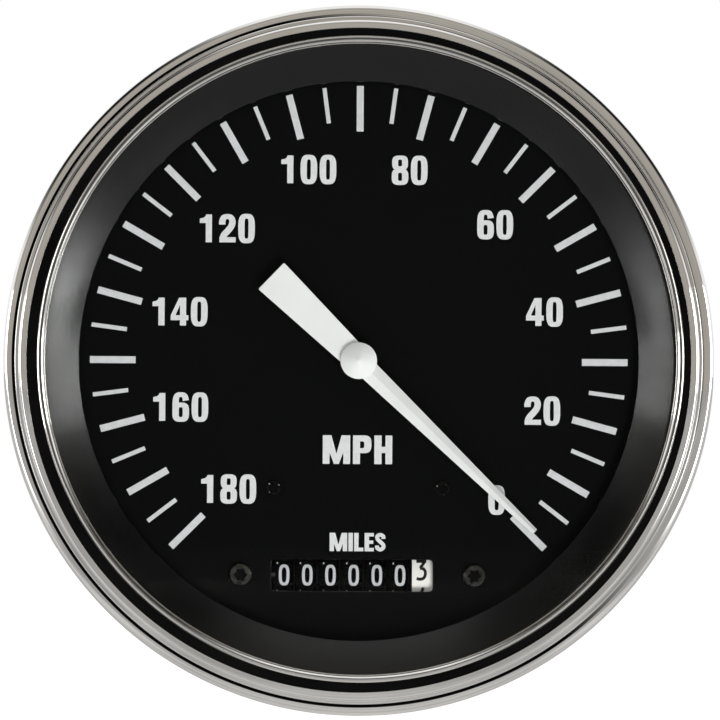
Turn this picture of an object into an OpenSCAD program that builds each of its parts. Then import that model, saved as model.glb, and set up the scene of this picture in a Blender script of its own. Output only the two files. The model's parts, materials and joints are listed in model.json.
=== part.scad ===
// Cable-driven dashboard speedometer with a reverse-sweep needle and a drum odometer.
// Each piece is drawn with the dial facing +Z, twelve o'clock at +Y and the barrel's front end at zero,
// and forward() then turns it so that the dial faces -Y and +Z is up.

/* [Bezel and lens] */
// Diameter over the bezel
bezel_d = 127; // [122:0.5:140]
// Diameter of the bezel's rolled outer edge
roll_d = 3.2; // [2.8:0.1:3.4]
// Step from the bezel's rim in to its side wall
step_in = 1.9; // [1.7:0.1:2]
// Width of the ledge outside the bezel's raised face
ledge_w = 1; // [0.8:0.05:1.1]
// Fall of the ledge toward the side wall
ledge_fall = 0.2; // [0.1:0.05:0.3]
// Rounding of the ledge's outer edge
ledge_round = 0.3; // [0.2:0.05:0.4]
// Rounding of the raised face's shoulder
shoulder_round = 0.9; // [0.7:0.05:1]
// Thickness of the bezel sheet
bezel_sheet = 0.8; // [0.6:0.05:0.9]
// Height of the bezel's front above the lens
front_rise = 1.6; // [1.5:0.1:2]
// From the side wall in to the black band
band_in = 2.35; // [2.3:0.05:2.5]
// Width of the black band
band_w = 1.25; // [1:0.05:1.3]
// Depth of the groove that holds the black band
band_depth = 1; // [0.8:0.05:1.2]
// Thickness of the black band in its groove
inlay_t = 0.5; // [0.3:0.05:0.7]
// Width of the bead round the lens
bead_w = 1.5; // [1.3:0.05:1.5]
// Step from the bead out to the trim ring's cone
ring_step = 0.4; // [0.3:0.1:0.6]
// Thickness of the lens
lens_t = 1.8; // [1.5:0.1:2.2]
// Gap round the lens inside the bezel
lens_gap = 0.3; // [0.2:0.05:0.4]
// Thickness of the lens gasket
gasket_t = 0.7; // [0.5:0.05:1]
// Width of the lens gasket
gasket_w = 3.2; // [2:0.1:3.4]

/* [Trim ring and dial] */
// Thickness of the trim ring
ring_sheet = 0.7; // [0.5:0.05:0.9]
// Width of the trim ring's cone
ring_run = 6.8; // [6:0.1:8]
// Fall of the trim ring's cone
ring_fall = 4.8; // [4.4:0.1:5.2]
// Depth of the dial's face behind the barrel's front end
dial_drop = 4.6; // [4.4:0.1:5.4]
// Thickness of the dial
dial_t = 0.8; // [0.6:0.1:1]
// Reach of the dial under the trim ring
dial_tuck = 2.9; // [2:0.1:4.5]
// Hole in the dial for the spindle
dial_hole_d = 5; // [4:0.5:6]
// Speed at the last graduation
top_speed = 180; // [120:10:200]
// Angle swept from zero to the last graduation
sweep = 270; // [240:5:270]
// Gap between the trim ring and the graduations
tick_gap = 1.8; // [1:0.1:3]
// Rise of the printed scale above the spindle
scale_rise = 1.2; // [0:0.1:1.3]
// Length of a long graduation
long_tick = 8.2; // [6:0.1:10]
// Width of a long graduation
long_tick_w = 1.25; // [0.8:0.05:1.6]
// Length of a short graduation
short_tick = 6.4; // [4:0.1:8]
// Width of a short graduation
short_tick_w = 0.75; // [0.5:0.05:1.2]
// Thickness of the printed graduations
ink_t = 0.06; // [0.04:0.01:0.1]

/* [Needle] */
// Angle of the resting needle past the zero graduation
needle_rest = 1.2; // [0:0.1:3]
// Distance from the graduations' outer ends in to the needle's tip
tip_gap = 4.3; // [1:0.1:9]
// Length from the spindle to the tail's end
tail_len = 21.9; // [18:0.5:26]
// Width of the needle at the spindle
needle_w = 3.8; // [3:0.1:4.6]
// Width of the needle's tip
tip_w = 1.1; // [0.8:0.1:1.6]
// Width of the tail at the spindle
tail_root_w = 4.45; // [4:0.05:5.5]
// Width of the tail's end
tail_end_w = 6.65; // [5:0.05:8]
// Thickness of the tail
tail_t = 0.7; // [0.5:0.05:0.9]
// Height of the needle's ridge
ridge_h = 1.2; // [1:0.1:1.5]
// Height of the needle above the dial
needle_rise = 2.2; // [1.8:0.1:2.4]
// Diameter of the needle's hub
hub_d = 6.55; // [5.5:0.05:7.5]
// Height of the hub's straight rim
hub_rim = 0.7; // [0.5:0.1:0.9]
// Height of the hub's cone
hub_cone = 1.3; // [0.8:0.1:1.6]
// Diameter of the flat at the top of the hub
hub_tip_d = 0.9; // [0.6:0.1:1.4]

/* [Case] */
// Overhang of the bezel past the case's barrel
overhang = 5.1; // [4.8:0.1:5.6]
// Thickness of the case's wall
case_wall = 0.9; // [0.7:0.1:1.1]
// Thickness of the case's back
case_back = 1.2; // [1:0.1:1.5]
// Gap between the first worm wheel and the base plate
base_gap = 2.15; // [1.5:0.05:8]
// Rounding of the case's rear corner
case_corner = 5; // [3:0.5:7]
// Thickness of the case's front flange
flange_t = 1; // [0.8:0.1:1.2]
// Gap between the case and the bezel's rear lip
lip_gap = 0.4; // [0.3:0.05:0.6]
// Gap between the case's barrel and the panel seat behind the bezel
seat_gap = 0.3; // [0.2:0.05:0.5]
// Taper of the case's neck inside the bezel's lip
neck_taper = 0.5; // [0.4:0.05:0.6]
// Distance between the mounting studs
stud_span = 76.2; // [74:0.1:84]
// Diameter of a mounting stud
stud_d = 4.8; // [4:0.1:5]
// Length of a mounting stud behind the case
stud_len = 30; // [20:1:40]
// Diameter of a stud's shoulder
stud_shoulder_d = 9; // [8:0.5:10]
// Thickness of a stud's shoulder
stud_shoulder_t = 1.6; // [1:0.1:2]
// Diameter of a frame screw's head
frame_head_d = 6; // [5:0.5:7]
// Thickness of a frame screw's head
frame_head_t = 2; // [1.5:0.1:2.5]
// Diameter of a frame screw's shank
frame_shank_d = 3.4; // [3:0.1:4]
// Distance of the frame screws from the axis
frame_screw_r = 26; // [25:0.5:27]

/* [Lamps] */
// Distance of a lamp to the side of the axis
lamp_x = 30; // [29:0.5:33]
// Height of the lamps above the axis
lamp_y = 26; // [25:0.5:28]
// Diameter of a lamp holder's barrel
lamp_barrel_d = 13; // [11:0.5:13.5]
// Diameter of a lamp holder's flange
lamp_flange_d = 17; // [16:0.5:19]
// Thickness of a lamp holder's flange
lamp_flange_t = 1.5; // [1:0.1:2]
// Length of a lamp holder inside the case
lamp_inside = 9; // [6:0.5:10]
// Length of a lamp holder behind its flange
lamp_outside = 8; // [6:0.5:12]
// Width of a lamp terminal
blade_w = 6.3; // [4.8:0.1:6.3]
// Thickness of a lamp terminal
blade_t = 0.8; // [0.5:0.1:0.8]
// Length of a lamp terminal
blade_len = 8; // [6:0.5:10]
// Diameter of a lamp's glass
bulb_d = 9; // [7:0.5:10]
// Length of a lamp's glass
bulb_len = 15; // [12:0.5:18]
// Gap round a lamp's glass in its holder
bulb_gap = 0.3; // [0.2:0.1:0.5]
// Step from a lamp holder's barrel to its cap
lamp_step = 1; // [0.5:0.1:1.5]

/* [Cable drive] */
// Diameter over the nipple's thread
nipple_d = 15.9; // [15:0.1:17]
// Length of the nipple's thread
nipple_len = 12; // [10:0.5:15]
// Width across the nipple's hexagon
hexagon_w = 22; // [20:0.5:24]
// Thickness of the nipple's hexagon
hexagon_t = 3; // [2.5:0.1:4]
// Diameter of the nipple's neck through the case
neck_d = 13; // [12:0.5:14]
// Diameter of the bore for the cable's ferrule
ferrule_d = 9; // [8.8:0.1:10]
// Depth of the bore for the cable's ferrule
ferrule_depth = 11; // [8:0.5:11.5]
// Width of the drive shaft's square socket
socket_w = 2.7; // [2.5:0.1:3]
// Depth of the drive shaft's square socket
socket_depth = 8; // [6:0.5:9]
// Diameter of the drive shaft's rear journal
rear_journal_d = 5.2; // [5:0.1:5.6]
// Diameter of the drive shaft
drive_d = 4; // [3.6:0.1:4.4]
// Wall of the rear bush
rear_bush_wall = 1.55; // [1.2:0.05:1.6]
// Wall of the front bush
front_bush_wall = 1.4; // [1:0.1:1.6]
// Running clearance between a shaft and its bore, on the radius
run_gap = 0.05; // [0.03:0.01:0.08]
// Clearance between fixed pieces, on the radius
fit_gap = 0.03; // [0.02:0.01:0.05]

/* [Reduction gears] */
// Teeth of the first worm wheel
first_teeth = 40; // [38:1:42]
// Module of the first worm and wheel
first_module = 0.5; // [0.48:0.01:0.52]
// Pitch radius of the first worm
first_worm_r = 3; // [2.9:0.05:3.1]
// Teeth of the second worm wheel
second_teeth = 25; // [24:1:26]
// Module of the second worm and wheel
second_module = 0.48; // [0.46:0.01:0.5]
// Pitch radius of the second worm
second_worm_r = 2.4; // [2.3:0.05:2.5]
// Teeth of the lay gear and of the odometer gear
drive_teeth = 30; // [30:1:31]
// Module of the lay gear and of the odometer gear
drive_module = 0.5; // [0.5:0.005:0.51]
// Length of a worm's thread
worm_len = 7; // [6:0.1:7]
// Face width of a worm wheel
wheel_w = 2.4; // [1.8:0.1:2.4]
// Share of the pitch taken by a worm's thread or by a tooth that meets it
worm_share = 0.38; // [0.34:0.01:0.4]
// Share of the pitch taken by a spur tooth
tooth_share = 0.42; // [0.4:0.01:0.44]
// Wall of a worm wheel's hub
wheel_hub_wall = 1.5; // [1:0.1:1.8]
// Wall of a lay shaft hub
lay_hub_wall = 1.2; // [1:0.1:1.5]
// Thickness of a bearing block
block_t = 3; // [2.5:0.1:3.5]
// Wall of a bearing block
block_wall = 1.1; // [1:0.1:1.5]
// Diameter of the cross shaft
cross_d = 3; // [2.6:0.1:3]
// Diameter of the lay shaft
lay_d = 2.4; // [2:0.1:2.6]
// Face width of the lay gear and of the odometer gear
drive_w = 1.4; // [1:0.1:1.5]

/* [Odometer] */
// Distance from the odometer's axle down to the case's wall
odo_wall = 19; // [18.5:0.1:19.5]
// Sideways place of the middle drum
odo_x = -1; // [-1.2:0.1:-0.8]
// Diameter of a drum
drum_d = 16; // [15.8:0.1:16]
// Distance between the drums
drum_pitch = 4.11; // [4.08:0.01:4.14]
// Gap between the drums and the dial's back
drum_gap = 0.4; // [0.35:0.05:0.6]
// Left edge of a drum's numbered band from the middle of its digit
band_left = 1.48; // [1.46:0.01:1.5]
// Width of the lowest drum's numbered band
tenths_band = 3.85; // [3.6:0.05:3.9]
// Width of a drum's gear and of its carry disc
carry_w = 0.66; // [0.6:0.02:0.68]
// Gap between one drum's gear and the next drum's carry disc
carry_gap = 0.12; // [0.1:0.01:0.14]
// Reading of the lowest drum
tenths_reading = 3.23; // [0.5:0.01:8.5]
// Diameter of the odometer's axle
axle_d = 3; // [2.6:0.1:3.4]
// Diameter of the pinions' axle
pinion_axle_d = 1.6; // [1.4:0.1:1.8]
// Module of the drum gears and the pinions
carry_module = 0.7; // [0.69:0.01:0.71]
// Direction of the pinions' axle, from below towards the rear
pinion_turn = 20; // [15:1:25]
// Width of the odometer's window
window_w = 29.2; // [28:0.1:30]
// Height of the odometer's window
window_h = 5.9; // [5:0.1:6.6]
// Corner rounding of the odometer's window
window_round = 0.8; // [0.4:0.1:1.2]
// Thickness of the odometer frame's plates
side_t = 1.2; // [1:0.1:1.4]
// Distance of an odometer screw to the side of the axis
odo_screw_x = 21; // [20.8:0.1:22]
// Diameter of an odometer screw's head
odo_head_d = 4.25; // [3.8:0.05:4.5]
// Height of an odometer screw's head
odo_head_t = 1.5; // [1:0.1:1.6]
// Diameter of an odometer screw's shank
odo_shank_d = 2.2; // [1.8:0.1:2.6]
// Thickness of the odometer frame's ears
ear_t = 2; // [1.6:0.1:2.4]
// Width of the odometer frame's ears
ear_w = 6; // [5:0.5:7]

/* [Movement] */
// Distance of a dial screw to the side of the axis
post_x = 15.15; // [15:0.05:16]
// Height of the dial screws above the odometer's axle
post_rise = 15.8; // [15.5:0.1:16.5]
// Diameter of a dial post
post_d = 5; // [4:0.5:5]
// Diameter of a dial screw's head
dial_head_d = 2.7; // [2.2:0.1:3.2]
// Height of a dial screw's head
dial_head_t = 0.5; // [0.3:0.1:0.8]
// Diameter of a dial screw's shank
dial_shank_d = 1.8; // [1.4:0.1:2]
// Length of a dial screw's shank
dial_shank_len = 5; // [4:0.5:8]
// Thickness of the base plate
base_t = 3; // [2.6:0.1:3.2]
// Diameter of the base plate
base_d = 62; // [61:0.5:63]
// Thickness of the front plate
plate_t = 2; // [1.6:0.1:2.2]
// Diameter of a pillar
pillar_d = 5; // [4.5:0.5:6]
// Diameter of the bore in a pillar
pillar_bore_d = 2.5; // [2:0.1:3]
// Distance of a pillar to the side of the axis
pillar_x = 22; // [21:0.5:22.5]
// Height of the upper pillars above the axis
pillar_up = 16; // [14:0.5:17]
// Depth of the lower pillars below the axis
pillar_down = 18; // [16:0.5:18.5]
// Diameter of a plate screw's head
plate_head_d = 4.5; // [4:0.1:5]
// Height of a plate screw's head
plate_head_t = 1.4; // [1:0.1:1.6]
// Length of a plate screw in its pillar
plate_grip = 4; // [3:0.5:6]
// Margin of the plates round their pillars
plate_margin = 4; // [3.5:0.5:5]
// Thickness of the bridge
bridge_t = 1.6; // [1.4:0.1:1.8]
// Width of the bridge
bridge_w = 13; // [12.5:0.5:15]
// Distance of a bridge pillar from the axis
bridge_x = 21; // [19:0.5:23]
// Room between the dial and the bridge
spring_room = 3.6; // [3.5:0.1:4]
// Diameter of the spindle
spindle_d = 1.6; // [1.4:0.1:1.8]
// Wall of the spindle's bush
spindle_bush_wall = 1.15; // [1:0.05:1.3]
// Outer diameter of the magnet
magnet_d = 22; // [20:0.5:23]
// Height of the magnet
magnet_h = 6; // [5:0.2:6.2]
// Bore of the magnet
magnet_bore_d = 6; // [5.6:0.1:7]
// Air gap on each side of the speed cup's wall
air_gap = 0.6; // [0.5:0.05:0.8]
// Room between the front plate and the magnet
magnet_room = 3.6; // [3.2:0.1:3.8]
// Thickness of the speed cup
cup_t = 0.6; // [0.5:0.1:0.8]
// Thickness of the field ring
field_t = 1.5; // [1:0.1:2]
// Turns of the hairspring
spring_turns = 5; // [4:0.5:5]
// Thickness of the hairspring's strip
spring_t = 0.25; // [0.15:0.05:0.3]
// Width of the hairspring's strip
spring_w = 1; // [0.8:0.1:1]

/* [Hidden] */
$fn = 96;
over = 0.5;
end_gap = 0.2;
side_play = 0.3;

// Front stack, from the panel seat forwards
flange_z = seat_gap + bezel_sheet;
ring_z = flange_z + flange_t;
gasket_z = ring_z + ring_sheet;
lens_z = gasket_z + gasket_t;
lip_z = lens_z + lens_t;
front_z = lip_z + front_rise;
roll_r = roll_d / 2;
roll_at = bezel_d / 2 - roll_r;
side_r = bezel_d / 2 - step_in;
face_r = side_r - ledge_w;
ledge_z = front_z - shoulder_round;
edge_z = ledge_z - ledge_fall - ledge_round;
skin_r = side_r - bezel_sheet;
seat_r = skin_r - lens_gap;
band_r = side_r - band_in;
bead_r = band_r - band_w;
lens_open_r = bead_r - bead_w;
case_r = bezel_d / 2 - overhang;
case_in_r = case_r - case_wall;
lip_r = case_r + lip_gap;
ring_top_r = lens_open_r + ring_step;
ring_open_r = ring_top_r - ring_run;

// Depths behind the dial
dial_z = -dial_drop;
dial_back = dial_z - dial_t;
bridge_z = dial_back - spring_room;
bridge_back = bridge_z - bridge_t;
bush_stand = 0.4;
cup_hub_front = 0.8;
cup_hub_rear = 1.2;
cup_hub_wall = 1;
cup_z = bridge_back - bush_stand - end_gap - cup_hub_front;
magnet_front_gap = 1;
magnet_z = cup_z - cup_t - magnet_front_gap;
magnet_back = magnet_z - magnet_h;
hub_in = 2.6;
hub_z = magnet_back + hub_in;
hub_r = magnet_bore_d / 2;
pivot_len = 2.2;
plate_z = magnet_back - magnet_room;
plate_back = plate_z - plate_t;

// Odometer and gear train
drum_r = drum_d / 2;
odo_y = odo_wall - case_in_r;
drum_z = dial_back - drum_gap - drum_r;
drive_r = drive_teeth * drive_module / 2;
lay_z = drum_z - 2 * drive_r;
first_r = first_teeth * first_module / 2;
second_r = second_teeth * second_module / 2;
cross_x = first_r + first_worm_r;
cross_z = lay_z - second_r - second_worm_r;
addendum = 0.9;
first_tip = first_module * addendum;
base_z = cross_z - first_r - first_tip - base_gap;
floor_z = base_z - base_t;
back_z = floor_z - case_back;
worm_gap = 0.1;
worm_steps = 15;
worm_slices = 12;
tooth_slope = 0.45;
tooth_foot = 0.3;
second_tip = second_module * addendum;
drive_tip = drive_module * addendum;
gear_clear = 0.4;
drive_x = cross_x + second_worm_r + second_tip + gear_clear;
drums = 7;
lowest_x = odo_x + (drums - 1) / 2 * drum_pitch;
highest_x = odo_x - (drums - 1) / 2 * drum_pitch;
side_gap = 0.8;
left_plate_x = highest_x - band_left - side_gap - side_t;
right_plate_x = drive_x + drive_w + 2 * side_play;
plate_right = right_plate_x + side_t;
web_gap = 1;
web_y = odo_y + drum_r + web_gap;
web_top = web_y + side_t;
web_front = 4;
frame_margin = 3.4;
lug_in = 5.4;
lug_x = cross_x - lug_in;
rivet_t = 0.5;
rivet_step = 0.5;
upper_block_y = 3.5;
worm_end_gap = 1.5;
lower_block_y = odo_y - worm_len / 2 - worm_end_gap - block_t;
tongue_half = 5;
tongue_top = -20;
tongue_end = lower_block_y - block_wall;
gear_teeth = 20;
pinion_teeth = 8;
gear_pitch_r = gear_teeth * carry_module / 2;
pinion_pitch_r = pinion_teeth * carry_module / 2;
carry_addendum = 0.95;
carry_dedendum = 1.2;
carry_tip = carry_module * carry_addendum;
carry_root = carry_module * carry_dedendum;
pinion_reach = gear_pitch_r + pinion_pitch_r;
pinion_y = odo_y - pinion_reach * cos(pinion_turn);
pinion_z = drum_z - pinion_reach * sin(pinion_turn);
pinion_side = 180 + pinion_turn;
digit_turn = 36;
carry_reading = 9.5;
lock_share = 0.6;
lock_r = gear_pitch_r + carry_tip * lock_share;
notch_share = 0.55;
band_right = drum_pitch - band_left - 2 * carry_w - carry_gap;
pinion_w = drum_pitch - band_left - band_right - 2 * carry_gap;

// Needle movement
tick_r = ring_open_r - tick_gap;
needle_len = tick_r - tip_gap;
needle_z = dial_z + needle_rise;
hub_base_z = needle_z + tail_t;
zero_turn = 90 - sweep / 2;
needle_turn = zero_turn + needle_rest;
spindle_r = spindle_d / 2;
cup_in_r = magnet_d / 2 + air_gap;
cup_r = cup_in_r + cup_t;
field_r = cup_r + air_gap;
spindle_bush_r = spindle_r + run_gap + spindle_bush_wall;
collet_wall = 0.9;
collet_r = spindle_r + collet_wall;
collet_h = 2.2;
collet_z = bridge_z + bush_stand + end_gap;
arm_t = 0.6;
arm_w = 1.4;
arm_r = 9;
spring_clear = 0.4;
spring_z = collet_z + arm_t + spring_clear;
spring_end_r = 7;
anchor_t = 1.6;
anchor_w = 1.8;
anchor_rise = 0.2;
stop_room = 8;
stop_clear = 6;
stop_half = (360 - sweep) / 2 - stop_room;
stop_in_r = 7.6;
stop_out_r = 9.2;
stop_drop = 0.1;
stop_z = collet_z + arm_t - stop_drop;
arm_turn = 180 + stop_half + stop_clear;
rear_bush_r = rear_journal_d / 2 + run_gap + rear_bush_wall;
front_bush_r = drive_d / 2 + run_gap + front_bush_wall;
rear_bush_stand = 0.8;
bush_end = base_z + rear_bush_stand;
shaft_end = back_z - hexagon_t - nipple_len + ferrule_depth;
bush_flange = 0.8;
bush_flange_t = 1;
field_drop = 0.5;
cup_lip = 1;

// Turns a piece so that the dial faces -Y
module forward() {
    rotate([90, 0, 0])
        children();
}

// Carries a piece drawn along +Z to a line along +X, its own X and Y lying on Y and Z
module across(x, y, z) {
    translate([x, y, z])
        rotate([90, 0, 90])
            children();
}

// Carries a piece drawn along +Z to a line along +Y, its own X and Y lying on X and -Z
module upright(x, y, z) {
    translate([x, y, z])
        rotate([-90, 0, 0])
            children();
}

// A tube or, with no bore, a rod standing on z
module sleeve(z, height, outer, bore = 0) {
    translate([0, 0, z])
        linear_extrude(height)
            difference() {
                circle(r = outer);
                if (bore > 0)
                    circle(r = bore);
            }
}

// Straight-sided teeth of a gear, every one or every other, the first on the X axis
module spur_teeth(teeth, every, pitch_r, tip, root, share) {
    half = pitch_r * sin(180 / teeth * share);
    slope = half * tooth_slope;
    foot_r = pitch_r - root - tooth_foot;
    for (i = [0 : every : teeth - 1])
        rotate(i * 360 / teeth)
            polygon([[foot_r, -half - slope], [pitch_r + tip, -half + slope],
                [pitch_r + tip, half - slope], [foot_r, half + slope]]);
}

// Outline of a gear: a root circle with its teeth
module gear_outline(teeth, pitch_r, tip, root, share) {
    circle(r = pitch_r - root);
    spur_teeth(teeth, 1, pitch_r, tip, root, share);
}

// Radius of a single-start worm's section at an angle from its thread
function worm_radius(turn, pitch, pitch_r, tip, root, share) =
    let (away = abs(turn) / 360 * pitch, half = share * pitch / 2, slope = half * tooth_slope)
    away < half - slope ? pitch_r + tip
    : away > half + slope ? pitch_r - root
    : pitch_r + tip - (tip + root) * (away - half + slope) / (2 * slope);

// Right-hand worm centred on zero, its thread facing the given way in the middle
module worm(pitch, pitch_r, tip, root, share, facing) {
    rotate(facing - 180 * worm_len / pitch)
        translate([0, 0, -worm_len / 2])
            linear_extrude(worm_len, twist = -360 * worm_len / pitch,
                slices = ceil(worm_slices * worm_len / pitch), segments = worm_steps)
                polygon([for (i = [0 : worm_steps - 1])
                    let (turn = i * 360 / worm_steps - 180)
                    worm_radius(turn, pitch, pitch_r, tip, root, share) * [cos(turn), sin(turn)]]);
}

// Flat spiral strip from radius a to radius b
module spiral(a, b, turns, thick) {
    step = 15;
    last = turns * 360;
    function path(turn, side) =
        (a + (b - a) * turn / last + side * thick / 2) * [cos(turn), sin(turn)];
    polygon(concat([for (turn = [0 : step : last]) path(turn, -1)],
        [for (turn = [last : -step : 0]) path(turn, 1)]));
}

// Six-lobe recess
module lobes(size) {
    core = 0.62;
    lobe_at = 0.7;
    lobe = 0.26;
    circle(r = size * core);
    for (i = [0 : 5])
        rotate(i * 60)
            translate([size * lobe_at, 0])
                circle(r = size * lobe);
}

// Screw with a flat-topped head on z, a six-lobe recess and a shank behind it
module lobe_screw(z, head, head_t, shank, shank_len) {
    recess_floor = 0.35;
    recess = 0.62;
    difference() {
        union() {
            sleeve(z, head_t, head);
            sleeve(z - shank_len, shank_len + over / 2, shank);
        }
        translate([0, 0, z + head_t * recess_floor])
            linear_extrude(head_t)
                lobes(head * recess);
    }
}

// Screw with a slotted head on z
module slot_screw(z, head, head_t, shank, shank_len) {
    slot_share = 0.3;
    slot_floor = 0.5;
    slot_w = head * slot_share;
    difference() {
        union() {
            sleeve(z, head_t, head);
            sleeve(z - shank_len, shank_len + over / 2, shank);
        }
        translate([-head - over, -slot_w / 2, z + head_t * slot_floor])
            cube([2 * head + 2 * over, slot_w, head_t]);
    }
}

module at_studs() {
    for (side = [-1, 1])
        translate([side * stud_span / 2, 0, 0])
            children();
}

module at_lamps() {
    for (side = [-1, 1])
        translate([side * lamp_x, lamp_y, 0])
            children();
}

module at_frame_screws() {
    for (turn = [90, 210, 330])
        rotate(turn)
            translate([frame_screw_r, 0, 0])
                children();
}

module at_pillars() {
    for (side = [-1, 1])
        for (y = [pillar_up, -pillar_down])
            translate([side * pillar_x, y, 0])
                children();
}

module at_posts() {
    for (side = [-1, 1])
        translate([side * post_x, odo_y + post_rise, 0])
            children();
}

module at_bridge_ends() {
    for (side = [-1, 1])
        translate([side * bridge_x, 0, 0])
            children();
}

module at_odometer_screws() {
    for (side = [-1, 1])
        translate([side * odo_screw_x, odo_y, 0])
            children();
}

module bezel_section() {
    difference() {
        union() {
            translate([lip_r, seat_gap])
                square([roll_at - lip_r, bezel_sheet]);
            translate([roll_at, seat_gap + roll_r])
                circle(r = roll_r);
            translate([skin_r - over, seat_gap + roll_r])
                square([bezel_sheet + over, edge_z - roll_r - seat_gap]);
            hull() {
                translate([lens_open_r, lip_z])
                    square([face_r - lens_open_r, ledge_z - lip_z]);
                translate([side_r - ledge_round, edge_z])
                    circle(r = ledge_round);
            }
            translate([lens_open_r, lip_z])
                square([face_r - shoulder_round - lens_open_r, front_rise]);
            translate([face_r - shoulder_round, ledge_z])
                circle(r = shoulder_round);
        }
        translate([lens_open_r - over, flange_z])
            square([skin_r - lens_open_r + over, lip_z - flange_z]);
        translate([case_r - over, 0])
            square([lip_r - case_r + over, lip_z]);
        translate([bead_r, front_z - band_depth])
            square([band_w, band_depth + over]);
        translate([lens_open_r - over, front_z - bead_w / 2])
            difference() {
                square([bead_w + over, bead_w]);
                translate([over + bead_w / 2, 0])
                    circle(r = bead_w / 2);
            }
    }
}

module bezel() {
    color("silver")
        forward()
            rotate_extrude()
                bezel_section();
}

module bezel_inlay() {
    color("black")
        forward()
            sleeve(front_z - band_depth, inlay_t, band_r, bead_r);
}

module lens() {
    color("lightcyan", 0.3)
        forward()
            sleeve(lens_z, lens_t, seat_r);
}

module lens_gasket() {
    color("dimgray")
        forward()
            sleeve(gasket_z, gasket_t, seat_r, seat_r - gasket_w);
}

module trim_ring() {
    color("black")
        forward()
            rotate_extrude()
                polygon([[seat_r, ring_z], [seat_r, gasket_z], [ring_top_r, gasket_z],
                    [ring_open_r, gasket_z - ring_fall], [ring_open_r, gasket_z - ring_fall - ring_sheet],
                    [ring_open_r + ring_sheet, gasket_z - ring_fall - ring_sheet],
                    [case_in_r - fit_gap, ring_z]]);
}

module case_section() {
    inner_corner = case_corner - case_wall;
    translate([case_in_r, back_z + case_corner])
        square([case_wall, -back_z - case_corner]);
    polygon([[case_in_r, 0], [case_r, 0], [case_r - neck_taper, flange_z], [case_in_r, flange_z]]);
    translate([case_in_r, flange_z])
        square([seat_r - case_in_r, flange_t]);
    translate([0, back_z])
        square([case_r - case_corner, case_back]);
    intersection() {
        translate([case_r - case_corner, back_z])
            square([case_corner, case_corner]);
        translate([case_r - case_corner, back_z + case_corner])
            difference() {
                circle(r = case_corner);
                circle(r = inner_corner);
            }
    }
}

module case() {
    color("darkslategray")
        forward()
            difference() {
                rotate_extrude()
                    case_section();
                sleeve(back_z - over, case_back + 2 * over, neck_d / 2 + fit_gap);
                at_studs()
                    sleeve(back_z - over, case_back + 2 * over, stud_d / 2 + fit_gap);
                at_lamps()
                    sleeve(back_z - over, case_back + 2 * over, lamp_barrel_d / 2 + fit_gap);
                at_frame_screws()
                    sleeve(back_z - over, case_back + 2 * over, frame_shank_d / 2 + fit_gap);
            }
}

module mounting_studs() {
    color("gainsboro")
        forward()
            at_studs() {
                sleeve(back_z - stud_len, stud_len + case_back, stud_d / 2);
                sleeve(back_z - stud_shoulder_t, stud_shoulder_t, stud_shoulder_d / 2);
                sleeve(floor_z, stud_shoulder_t, stud_shoulder_d / 2);
            }
}

module cable_nipple() {
    end_z = back_z - hexagon_t - nipple_len;
    color("goldenrod")
        forward()
            difference() {
                union() {
                    sleeve(end_z, nipple_len, nipple_d / 2);
                    translate([0, 0, back_z - hexagon_t])
                        cylinder(h = hexagon_t, r = hexagon_w / 2 / cos(30), $fn = 6);
                    sleeve(back_z, base_z - back_z, neck_d / 2);
                }
                sleeve(end_z - over, ferrule_depth + over, ferrule_d / 2);
                sleeve(end_z, base_z - end_z + over, rear_bush_r + fit_gap);
            }
}

module frame_screws() {
    color("gainsboro")
        forward()
            at_frame_screws()
                mirror([0, 0, 1])
                    slot_screw(-back_z, frame_head_d / 2, frame_head_t, frame_shank_d / 2,
                        case_back + base_t);
}

module lamp_holders() {
    barrel_r = lamp_barrel_d / 2;
    color("ivory")
        forward()
            at_lamps()
                difference() {
                    union() {
                        sleeve(back_z, case_back + lamp_inside, barrel_r);
                        sleeve(back_z - lamp_flange_t, lamp_flange_t, lamp_flange_d / 2);
                        sleeve(back_z - lamp_flange_t - lamp_outside, lamp_outside, barrel_r - lamp_step);
                    }
                    sleeve(floor_z, lamp_inside + over, bulb_d / 2 + bulb_gap);
                }
}

module lamp_terminals() {
    color("goldenrod")
        forward()
            at_lamps()
                translate([-blade_w / 2, -blade_t / 2, back_z - lamp_flange_t - lamp_outside - blade_len])
                    cube([blade_w, blade_t, blade_len]);
}

module lamp_bulbs() {
    color("lightyellow", 0.6)
        forward()
            at_lamps() {
                sleeve(floor_z, bulb_len - bulb_d / 2, bulb_d / 2);
                translate([0, 0, floor_z + bulb_len - bulb_d / 2])
                    sphere(r = bulb_d / 2);
            }
}

module window_outline() {
    half_w = window_w / 2 - window_round;
    half_h = window_h / 2 - window_round;
    square([window_w, window_h - 2 * window_round], center = true);
    square([window_w - 2 * window_round, window_h], center = true);
    for (x = [-half_w, half_w])
        for (y = [-half_h, half_h])
            translate([x, y])
                circle(r = window_round);
}

module dial() {
    color("black")
        forward()
            difference() {
                sleeve(dial_back, dial_t, ring_open_r + dial_tuck, dial_hole_d / 2);
                translate([odo_x, odo_y, dial_back - over])
                    linear_extrude(dial_t + 2 * over)
                        window_outline();
                at_odometer_screws()
                    sleeve(dial_back - over, dial_t + 2 * over, odo_shank_d / 2 + fit_gap);
                at_posts()
                    sleeve(dial_back - over, dial_t + 2 * over, dial_shank_d / 2 + fit_gap);
            }
}

module dial_graduations() {
    color("white")
        forward()
            for (speed = [0 : 5 : top_speed]) {
                turn = zero_turn + speed / top_speed * sweep;
                long = speed % 10 == 0;
                length = long ? long_tick : short_tick;
                width = long ? long_tick_w : short_tick_w;
                rotate(turn)
                    translate([tick_r + scale_rise * sin(turn) - length, -width / 2, dial_z])
                        cube([length, width, ink_t]);
            }
}

module dial_screws() {
    color("black")
        forward()
            at_posts()
                lobe_screw(dial_z, dial_head_d / 2, dial_head_t, dial_shank_d / 2, dial_shank_len);
}

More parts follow.
